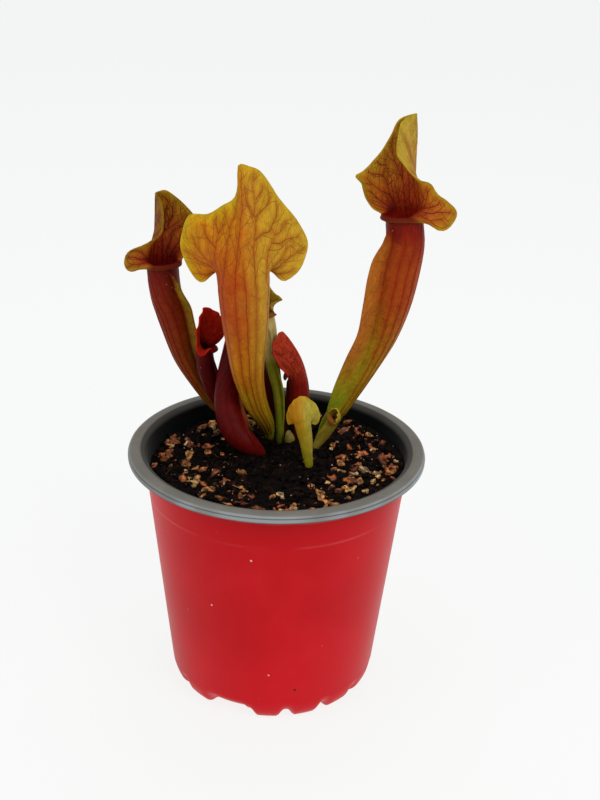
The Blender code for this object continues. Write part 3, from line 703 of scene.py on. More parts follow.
class VeinTree:
    """The veins of one leaf, as lines over its outside."""

    STEP = 0.3
    # longest branch and twig, and their share of the width that they leave
    BRANCH = (16.0, 0.62)
    TWIG = (7.0, 0.6)
    TWIG_SPACING = 1.1
    # angles at which a branch leaves
    TURN = (32, 58)
    # distance from another vein and places at which a branch stops
    MEETING = 0.3
    LOWEST = 1.03
    HIGHEST = 1.96
    WIDEST = 0.63

    def __init__(self, surface: LeafSurface, seed: int) -> None:
        """Lay the long veins and grow their branches.

        Args:
            surface: Surface that they run over.
            seed: Seed of their chances.
        """
        self.surface = surface
        self.draw = random.Random(seed)
        width, spacing = surface.form.vein_size
        self.trunks = [self.trunk(keys, width) for keys in surface.form.veins or self.fan()]
        self.spots = [spot for line in self.trunks for _, _, spot in line.points]
        self.trunk_tree = search_tree(self.spots)
        self.branches = []
        for trunk in self.trunks:
            self.branches += self.branch(trunk, spacing, *self.BRANCH)
        for branch in list(self.branches):
            self.branches += self.branch(branch, spacing * self.TWIG_SPACING, *self.TWIG)
        self.whole_tree = search_tree(self.spots)

    def fan(self) -> list[Keys]:
        """Give plain long veins that rise from the foot and spread over the hood."""
        mouths = (-0.46, -0.34, -0.22, -0.1, 0.02, 0.14, 0.26, 0.38, 0.50)
        return [((u, 0.15), (u, 1.0), (u * 0.9, 1.5), (u * 0.82, 1.93)) for u in mouths]

    def trunk(self, keys: Keys, width: float) -> VeinLine:
        """Lay one long vein.

        Args:
            keys: Column and height of its knots.
            width: Half its width where it starts.

        Returns:
            The vein.
        """
        travelled, spans = 0.0, [(0.0, *keys[0])]
        for before, after in zip(keys, keys[1:]):
            travelled += (self.surface.place(*after) - self.surface.place(*before)).length
            spans.append((travelled, *after))
        count = max(4, round(travelled / self.STEP))
        phase = self.draw.uniform(0, 50)
        line = []
        for k in range(count + 1):
            u, v = smooth_key(tuple(spans), travelled * k / count)
            u += 0.012 * noise.noise(Vector((travelled * k / count / 5, phase, 0.0)))
            line.append((u, v, self.surface.place(u, v)))
        return VeinLine(line, width, 1.0)

    def branch(self, vein: VeinLine, spacing: float, length: float, finer: float) -> list[VeinLine]:
        """Grow branches from a vein's hood part, to both sides in turn.

        Args:
            vein: The vein.
            spacing: Mean distance between branches.
            length: Longest that a branch may be.
            finer: Share of the vein's width and strength that a branch has.

        Returns:
            The branches.
        """
        grown = []
        self.known_tree = search_tree(self.spots)
        side = self.draw.choice((-1, 1))
        wait = spacing * self.draw.uniform(0.4, 0.9)
        for before, here in zip(vein.points, vein.points[1:]):
            wait -= (here[2] - before[2]).length
            if wait > 0 or here[1] < self.LOWEST:
                continue
            wait = spacing * self.draw.uniform(0.4, 0.8)
            side = -side
            walked = self.walk(here, (here[2] - before[2]).normalized(), side, length)
            if len(walked) > 4:
                grown.append(VeinLine(walked, vein.width * finer, vein.strength * (finer + 0.15)))
                self.spots += [spot for _, _, spot in walked]
        return grown

    def walk(
        self, start: tuple[float, float, Vector], ahead: Vector, side: int, length: float
    ) -> list[tuple[float, float, Vector]]:
        """Walk a branch over the surface until it meets another vein or the margin.

        Args:
            start: Point that it leaves from.
            ahead: Direction of its vein there.
            side: 1 or -1, the side that it leaves to.
            length: Longest that it may be.

        Returns:
            Column, height and place of its points.
        """
        u, v, spot = start
        turn = math.radians(self.draw.uniform(*self.TURN)) * side
        curl = self.draw.uniform(0.0, 1.3) * side
        phase = self.draw.uniform(0, 90)
        walked = [start]
        small = 0.004
        heading = None
        for k in range(round(length / self.STEP)):
            du = (self.surface.place(u + small, v) - spot) / small
            dv = (self.surface.place(u, min(1.995, v + small)) - spot) / small
            facing = du.cross(dv)
            if facing.length < 1e-6:
                break
            facing.normalize()
            if heading is None:
                heading = Matrix.Rotation(turn, 3, facing) @ ahead
            wander = 0.16 * noise.noise(Vector((phase, k * 0.13, 0.0))) - curl * 0.03
            heading = Matrix.Rotation(wander, 3, facing) @ heading
            heading = (heading - facing * heading.dot(facing)).normalized()
            # the step in columns and heights that gives this step over the surface
            a, b, c = du.dot(du), du.dot(dv), dv.dot(dv)
            across, up = heading.dot(du) * self.STEP, heading.dot(dv) * self.STEP
            whole = a * c - b * b
            if whole < 1e-9:
                break
            u += (across * c - up * b) / whole
            v += (up * a - across * b) / whole
            if not (1.0 < v < self.HIGHEST and abs(u) < self.WIDEST):
                break
            spot = self.surface.place(u, v)
            walked.append((u, v, spot))
            if k > 5 and self.known_tree.find(spot)[2] < self.MEETING:
                break
        return walked


@dataclass
class Spot:
    """One point of a leaf's mesh, with what its material reads there."""

    place: Vector
    flow: tuple[float, float]
    span: tuple[float, float]
    vein: float
    edge: float
    inner: float
    lip: float
    rib: float = 0.0


class Leaf:
    """One finished pitcher: its sheet, and the ribs of its veins set through the sheet."""

    LAYERS = ("vein", "edge", "inner", "lip", "rib")
    PROUD = 0.05
    SUNK = 0.04
    # radius and share of the length from which the tube is hollow
    HOLLOW = (2.0, 0.18)
    SMOOTHING = 6
    # every how many points of a vein its rib has a ring, on the hood and on the tube
    RIB_STEPS = (3, 7)

    def __init__(self, form: LeafForm) -> None:
        """Keep the sizes.

        Args:
            form: Sizes of the leaf.
        """
        self.form = form
        self.surface = LeafSurface(form)
        self.veins = VeinTree(self.surface, len(form.name))
        self.sheet = self.lay_sheet()

    def lay_sheet(self) -> list[list[Spot]]:
        """Work out the sheet, up the outside and back down the inside.

        Returns:
            Its rows, from the foot's point to the point at the bottom of the hollow.
        """
        form, surface = self.form, self.surface
        columns = [-1 + 2 * k / form.columns for k in range(form.columns + 1)]
        heights = [k / form.tube_rows for k in range(form.tube_rows + 1)]
        rises = [k / form.hood_rows for k in range(1, form.hood_rows + 1)]
        sections = [surface.frame(s) for s in heights]
        outer = [[surface.tube(section, u) for u in columns] for section in sections]
        curves = [surface.brim_curve(u) for u in columns]
        brim = [[surface.brim_point(curve, u, t) for curve, u in zip(curves, columns)] for t in rises]
        facing = self.outward([outer[-1], *brim])
        nearness = [[self.veins.trunk_tree.find(point)[2] for point in line] for line in (*outer, *brim)]
        # the sheet swells a little between its veins
        brim = [
            [
                point + turn * form.pucker * smoothstep(0.0, 0.15, t)
                * (smoothstep(0.0, 1.5, self.veins.whole_tree.find(point)[2]) - 0.5)
                for point, turn in zip(line, turns)
            ]
            for line, turns, t in zip(brim, facing, rises)
        ]
        width, start = self.HOLLOW
        hollow = next(k for k, section in enumerate(sections) if section[1] >= width and heights[k] > start)
        inner_brim = [
            [point - turn * form.wall for point, turn in zip(line, turns)]
            for line, turns in zip(brim, facing)
        ]
        tip = [
            point.lerp(inside, 0.5) + (point - below).normalized() * form.wall * 0.32
            for point, inside, below in zip(brim[-1], inner_brim[-1], brim[-2])
        ]
        inner = [[surface.bore(section, u) for u in columns] for section in sections[hollow:]]
        rise = [s / 2 for s in heights] + [0.5 + t / 2 for t in rises]
        rows = [([sections[0][0]] * len(columns), 0.0, False, nearness[0])]
        rows += [(line, high, False, near) for line, high, near in zip((*outer, *brim), rise, nearness)]
        rows.append((tip, 1.0, False, nearness[-1]))
        back = list(zip((*inner, *inner_brim), rise[hollow:], nearness[hollow:]))
        rows += [(line, high, True, near) for line, high, near in back[::-1]]
        rows.append(([sections[hollow][0]] * len(columns), rise[hollow], True, nearness[hollow]))
        across, along, edge = self.lengths([(points, inside) for points, _, inside, _ in rows])
        return [
            [
                Spot(
                    points[k], (u, high), (across[row][k] / 10, along[row] / 10), near[k], edge[row],
                    float(inside), smoothstep(0.62, 0.74, abs(u)) * smoothstep(0.502, 0.53, high),
                )
                for k, u in enumerate(columns)
            ]
            for row, (points, high, inside, near) in enumerate(rows)
        ]

    def outward(self, rows: list[list[Vector]]) -> list[list[Vector]]:
        """Find smoothed outward directions of all rows but the first.

        Args:
            rows: Rows of points whose first and last columns meet.

        Returns:
            One direction for each point.
        """
        count = len(rows[0]) - 1
        facing = []
        for number, here in enumerate(rows):
            above = rows[min(number + 1, len(rows) - 1)]
            below = rows[max(number - 1, 0)]
            line = []
            for k in range(count):
                across = here[k + 1] - here[k - 1 if k else count - 1]
                line.append(across.cross(above[k] - below[k]).normalized())
            facing.append(line)
        for _ in range(self.SMOOTHING):
            smoothed = []
            for number, here in enumerate(facing):
                above = facing[min(number + 1, len(facing) - 1)]
                below = facing[max(number - 1, 0)]
                smoothed.append([
                    (here[k - 1] + here[(k + 1) % count] + above[k] + below[k] + here[k] * 2).normalized()
                    for k in range(count)
                ])
            facing = smoothed
        return [line + line[:1] for line in facing[1:]]

    def lengths(self, rows: list[tuple[list[Vector], bool]]) -> tuple[list[list[float]], list[float], list[float]]:
        """Measure the sheet for the patterns that follow it.

        Args:
            rows: Points of each row, and whether it lies inside.

        Returns:
            Distance across from the back for each point, mean distance along for each row,
            and mean distance to the free edge for each row.
        """
        middle = self.form.columns // 2
        across = []
        for points, _ in rows:
            line = [0.0] * len(points)
            for k in range(middle + 1, len(points)):
                line[k] = line[k - 1] + (points[k] - points[k - 1]).length
            for k in range(middle - 1, -1, -1):
                line[k] = line[k + 1] - (points[k] - points[k + 1]).length
            across.append(line)
        quarter = self.form.columns // 4
        probes = range(middle - quarter, middle + quarter + 1, 4)
        along, total = [0.0], 0.0
        for (before, _), (after, inside) in zip(rows, rows[1:]):
            step = sum((after[k] - before[k]).length for k in probes) / len(probes)
            total += -step if inside else step
            along.append(total)
        top = max(along)
        return across, along, [top - value for value in along]

    def through(self, u: float, v: float) -> tuple[Spot, Vector]:
        """Look up a place on the finished sheet.

        Args:
            u: Column.
            v: Height: 0 at the foot, 1 at the mouth, 2 at the free edge.

        Returns:
            The spot outside, and the place opposite it inside.
        """
        form = self.form
        last = 1 + form.tube_rows + form.hood_rows
        row = 1 + (v * form.tube_rows if v <= 1 else form.tube_rows + (v - 1) * form.hood_rows)
        low = min(int(row), last - 1)
        column = (u + 1) / 2 * form.columns
        left = min(int(column), form.columns - 1)
        rise, shift = row - low, column - left

        def blend(read: Callable[[Spot], object], start: int, step: int) -> object:
            """Blend what the four spots round the place hold."""
            near, far = self.sheet[start], self.sheet[start + step]
            below = read(near[left]) * (1 - shift) + read(near[left + 1]) * shift
            above = read(far[left]) * (1 - shift) + read(far[left + 1]) * shift
            return below * (1 - rise) + above * rise

        outside = blend(lambda spot: spot.place, low, 1)
        mirrored = 2 * last + 2 - low
        if mirrored < len(self.sheet) - 1:
            inside = blend(lambda spot: spot.place, mirrored, -1)
        else:
            inside = outside.lerp(self.surface.frame(min(v, 1.0))[0], 0.3)
        span = blend(lambda spot: Vector(spot.span), low, 1)
        edge = blend(lambda spot: spot.edge, low, 1)
        high = v / 2
        lip = blend(lambda spot: spot.lip, low, 1)
        return Spot(outside, (u, high), tuple(span), 0.0, edge, 0.0, lip), inside

    def rib(self, vein: VeinLine) -> list[list[Spot]]:
        """Lay a vein's rib through the sheet, proud of both its faces.

        Args:
            vein: The vein.

        Returns:
            Its rings of spots, closed to a point at both ends.
        """
        places = []
        for k, (u, v, _) in enumerate(vein.points):
            apart = self.RIB_STEPS[0] if v > 0.98 else self.RIB_STEPS[1]
            if k % apart == 0 or k == len(vein.points) - 1:
                places.append(self.through(min(0.995, max(-0.995, u)), v))
        rings = []
        for k, (spot, inside) in enumerate(places):
            share = k / (len(places) - 1)
            width = vein.width * (1 - 0.55 * share)
            along = places[min(k + 1, len(places) - 1)][0].place - places[max(k - 1, 0)][0].place
            out = (spot.place - inside).normalized()
            side = along.cross(out).normalized() * width
            proud = self.PROUD * (0.5 + 0.5 * vein.strength) * min(1.0, 4 * (1 - share) + 0.2)
            corners = (
                (spot.place - side - out * self.SUNK, 0.0, 0.0),
                (spot.place + out * proud, vein.strength, 0.0),
                (spot.place + side - out * self.SUNK, 0.0, 0.0),
                (inside + side + out * self.SUNK, 0.0, 1.0),
                (inside - out * proud, vein.strength, 1.0),
                (inside - side + out * self.SUNK, 0.0, 1.0),
                (spot.place - side - out * self.SUNK, 0.0, 0.0),
            )
            ring = [
                replace(spot, place=corner, rib=rib, inner=inner) for corner, rib, inner in corners
            ]
            middle = replace(spot, place=spot.place.lerp(inside, 0.5))
            if k == 0:
                rings.append([middle] * len(ring))
            rings.append(ring)
            if k == len(places) - 1:
                rings.append([middle] * len(ring))
        return rings

    def wrap(self, shape: Shape, parts: list[list[list[Spot]]]) -> None:
        """Wrap a grid to the rows of one or more parts, and close their seams and ends.

        Args:
            shape: Shape to add to.
            parts: Rows of spots of each part, all with as many spots a row.
        """
        table = [row for part in parts for row in part]
        ends = {sum(len(part) for part in parts[:k + 1]) - 1 for k in range(len(parts) - 1)}
        rows, columns = len(table) - 1, len(table[0]) - 1
        made = bmesh.ops.create_grid(shape, x_segments=columns, y_segments=rows, size=1.0, calc_uvs=False)
        flow, span = (shape.loops.layers.uv[name] for name in ("flow", "span"))
        layers = [shape.verts.layers.float[name] for name in self.LAYERS]
        found = {}
        for vertex in made["verts"]:
            row = round((vertex.co.y + 1) / 2 * rows)
            found[vertex] = (row, table[row][round((vertex.co.x + 1) / 2 * columns)])
        gaps = set()
        for vertex, (row, spot) in found.items():
            for layer, name in zip(layers, self.LAYERS):
                vertex[layer] = getattr(spot, name)
            for loop in vertex.link_loops:
                loop[flow].uv = spot.flow
                loop[span].uv = spot.span
            if row in ends:
                gaps.update(
                    face for face in vertex.link_faces
                    if all(found[corner][0] in (row, row + 1) for corner in face.verts)
                )
            vertex.co = spot.place
        bmesh.ops.delete(shape, geom=list(gaps), context="FACES_ONLY")
        bmesh.ops.remove_doubles(shape, verts=[v for v in found if v.is_valid], dist=0.001)

    def build(self) -> bpy.types.Object:
        """Build the sheet and its ribs and dress them.

        Returns:
            The piece.
        """
        form = self.form
        shape = bmesh.new()
        for name in ("flow", "span"):
            shape.loops.layers.uv.new(name)
        for name in self.LAYERS:
            shape.verts.layers.float.new(name)
        self.wrap(shape, [self.rib(vein) for vein in (*self.veins.trunks, *self.veins.branches)])
        self.wrap(shape, [self.sheet])
        bmesh.ops.recalc_face_normals(shape, faces=shape.faces)
        piece = finish_mesh(form.name + "_leaf", shape, form.finish.make())
        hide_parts(form.name)
        return piece


class Tone(Enum):
    """Colours that several leaves share."""

    CRIMSON = (0.20, 0.006, 0.005)
    MAROON = (0.075, 0.004, 0.004)


def right_finish() -> LeafFinish:
    """Give the tall right leaf's colours."""
    return LeafFinish(
        name="leaf_right",
        outside=(
            (0.02, (0.1, 0.09, 0.01)), (0.04, (0.3, 0.46, 0.02)), (0.13, (0.36, 0.44, 0.016)),
            (0.2, (0.44, 0.34, 0.012)), (0.29, (0.42, 0.14, 0.008)), (0.38, (0.4, 0.07, 0.006)),
            (0.49, (0.21, 0.01, 0.004)), (0.56, (0.34, 0.06, 0.006)), (0.7, (0.52, 0.26, 0.03)),
            (1, (0.58, 0.4, 0.045)),
        ),
        inside=(
            (0, Tone.CRIMSON.value), (0.5, (0.34, 0.012, 0.005)), (0.57, (0.55, 0.07, 0.012)),
            (0.7, (0.58, 0.14, 0.012)), (0.86, (0.56, 0.21, 0.01)), (1, (0.54, 0.31, 0.012)),
        ),
        vein=(0.13, 0.008, 0.004), vein_share=(0.6, 0.45, 0.92), net_share=(0.35, 0.25, 0.55),
        glow=(0.4, 0.018, 0.004), glow_share=0.5, wing=(0.5, 0.155, 0.014), margin=(0.5, 0.36, 0.012),
        lip=(0.12, 0.003, 0.003), blush=(0.13, 0.004, 0.003),
    )


def middle_finish() -> LeafFinish:
    """Give the middle leaf's colours."""
    return LeafFinish(
        name="leaf_middle",
        outside=(
            # the near-black first stop is painted shade of the dark hollow that the foot goes down into
            (0.035, (0.04, 0.03, 0.005)), (0.055, (0.26, 0.36, 0.01)), (0.1, (0.42, 0.46, 0.014)),
            (0.17, (0.62, 0.4, 0.014)), (0.27, (0.66, 0.24, 0.01)), (0.44, (0.5, 0.078, 0.006)),
            (0.6, (0.58, 0.14, 0.005)), (0.8, (0.64, 0.24, 0.006)), (1, (0.66, 0.42, 0.009)),
        ),
        inside=(
            (0, Tone.CRIMSON.value), (0.5, Tone.CRIMSON.value), (0.62, (0.42, 0.05, 0.005)),
            (0.8, (0.44, 0.2, 0.006)), (1, (0.5, 0.36, 0.01)),
        ),
        vein=(0.3, 0.016, 0.006), vein_share=(0.8, 0.68, 0.85), net_share=(0.3, 0.28, 0.4), glow=(0.4, 0.055, 0.005),
        glow_share=0.5, flank=(0.66, 0.4, 0.03), flank_share=0.8, margin=(0.56, 0.42, 0.01), lip=(0.16, 0.008, 0.004),
    )


def left_finish() -> LeafFinish:
    """Give the left leaf's colours."""
    return LeafFinish(
        name="leaf_left",
        outside=(
            (0, (0.16, 0.16, 0.008)), (0.12, (0.22, 0.18, 0.008)), (0.22, (0.28, 0.085, 0.006)),
            (0.4, (0.24, 0.028, 0.004)), (0.5, (0.18, 0.012, 0.004)), (0.7, (0.28, 0.09, 0.006)),
            (1, (0.28, 0.13, 0.008)),
        ),
        inside=(
            (0, Tone.CRIMSON.value), (0.5, (0.3, 0.01, 0.005)), (0.6, (0.46, 0.05, 0.008)),
            (0.76, (0.52, 0.12, 0.009)), (0.88, (0.48, 0.19, 0.008)), (1, (0.42, 0.24, 0.008)),
        ),
        vein=(0.075, 0.004, 0.003), vein_share=(0.5, 0.9, 0.92), net_share=(0.35, 0.5, 0.6),
        glow=(0.26, 0.012, 0.004), glow_share=0.6, wing=(0.32, 0.19, 0.008), margin=(0.42, 0.22, 0.008),
        lip=(0.12, 0.003, 0.003), blush=(0.13, 0.004, 0.003),
    )


def red_finish(name: str, low: Colour, high: Colour, vein: Colour, lip: Colour, net: float = 0.4) -> LeafFinish:
    """Give the colours of one of the small red leaves.

    Args:
        name: Name of the material.
        low: Colour of the tube.
        high: Colour of the hood.
        vein: Colour of the veins.
        lip: Colour of the lip.
        net: How strongly the net of the hood shows.

    Returns:
        The finish.
    """
    return LeafFinish(
        name=name, outside=((0, (0.04, 0.02, 0.008)), (0.12, low), (0.45, low), (0.6, high), (1, high)),
        inside=((0, low), (0.5, low), (0.7, high), (1, high)), vein=vein, vein_share=(0.3, 0.85, 0.75),
        net_share=(0.3, net, 0.4), lip=lip,
    )


def back_finish() -> LeafFinish:
    """Give the colours of the crimson leaf between the two tall ones."""
    return red_finish(
        "leaf_back_red", (0.1, 0.004, 0.004), (0.62, 0.022, 0.008), (0.1, 0.004, 0.003), (0.14, 0.005, 0.004),
    )


def hidden_finish() -> LeafFinish:
    """Give the colours of the dark leaf behind the middle one."""
    return red_finish(
        "leaf_hidden_red", (0.085, 0.006, 0.005), (0.13, 0.009, 0.007), (0.04, 0.003, 0.003), (0.08, 0.005, 0.004),
    )


def red_leaf_finish() -> LeafFinish:
    """Give the colours of the small red leaf right of the middle."""
    return red_finish(
        "leaf_red", (0.3, 0.014, 0.009), (0.54, 0.052, 0.018), (0.16, 0.006, 0.005), (0.18, 0.008, 0.006), 0.7,
    )


def dark_finish() -> LeafFinish:
    """Give the big arched dark leaf's colours."""
    return LeafFinish(
        name="leaf_dark_red",
        outside=(
            (0, (0.06, 0.01, 0.005)), (0.06, (0.16, 0.006, 0.004)), (0.15, (0.13, 0.004, 0.003)),
            (0.26, (0.14, 0.004, 0.003)), (0.42, (0.09, 0.003, 0.003)), (1, (0.14, 0.006, 0.005)),
        ),
        inside=((0, Tone.MAROON.value), (1, (0.14, 0.01, 0.008))), vein=(0.04, 0.003, 0.002),
        vein_share=(0.3, 0.6, 0.6), net_share=(0.35, 0.4, 0.4), wing=(0.24, 0.06, 0.008), lip=(0.08, 0.005, 0.004),
    )


def slender_finish() -> LeafFinish:
    """Give the slender green leaf's colours."""
    return LeafFinish(
        name="leaf_slender",
        outside=(
            (0, (0.1, 0.12, 0.012)), (0.12, (0.26, 0.3, 0.018)), (0.32, (0.26, 0.27, 0.018)),
            (0.4, (0.58, 0.5, 0.18)), (0.47, (0.56, 0.46, 0.16)), (0.6, (0.46, 0.3, 0.02)), (1, (0.44, 0.3, 0.015)),
        ),
        inside=((0, (0.3, 0.16, 0.02)), (1, (0.48, 0.34, 0.03))), vein=(0.22, 0.03, 0.01), vein_share=(0.2, 0.4, 0.5),
        net_share=(0.15, 0.2, 0.3), lip=(0.2, 0.05, 0.01),
    )


def yellow_finish() -> LeafFinish:
    """Give the small yellow leaf's colours."""
    return LeafFinish(
        name="leaf_yellow",
        outside=(
            (0, (0.2, 0.22, 0.012)), (0.15, (0.34, 0.34, 0.015)), (0.35, (0.5, 0.36, 0.02)), (0.6, (0.6, 0.28, 0.01)),
            (1, (0.62, 0.26, 0.01)),
        ),
        inside=((0, (0.3, 0.12, 0.02)), (0.5, (0.4, 0.14, 0.02)), (1, (0.56, 0.4, 0.03))), vein=(0.34, 0.1, 0.01),
        vein_share=(0.3, 0.4, 0.6), net_share=(0.2, 0.25, 0.3), flank=(0.52, 0.46, 0.06), flank_share=0.95,
        wing=(0.16, 0.015, 0.006), margin=(0.5, 0.4, 0.03), lip=(0.3, 0.06, 0.012),
    )


def young_finish() -> LeafFinish:
    """Give the very young leaf's colours."""
    return LeafFinish(
        name="leaf_young",
        outside=(
            (0, (0.14, 0.11, 0.014)), (0.2, (0.3, 0.24, 0.025)), (0.42, (0.38, 0.3, 0.03)),
            (0.52, (0.24, 0.08, 0.012)), (0.7, (0.46, 0.34, 0.025)), (1, (0.56, 0.42, 0.04)),
        ),
        inside=((0, (0.3, 0.12, 0.02)), (1, (0.5, 0.34, 0.03))), vein=(0.26, 0.08, 0.012), vein_share=(0.3, 0.3, 0.4),
        net_share=(0.2, 0.2, 0.3), lip=(0.22, 0.07, 0.012),
    )


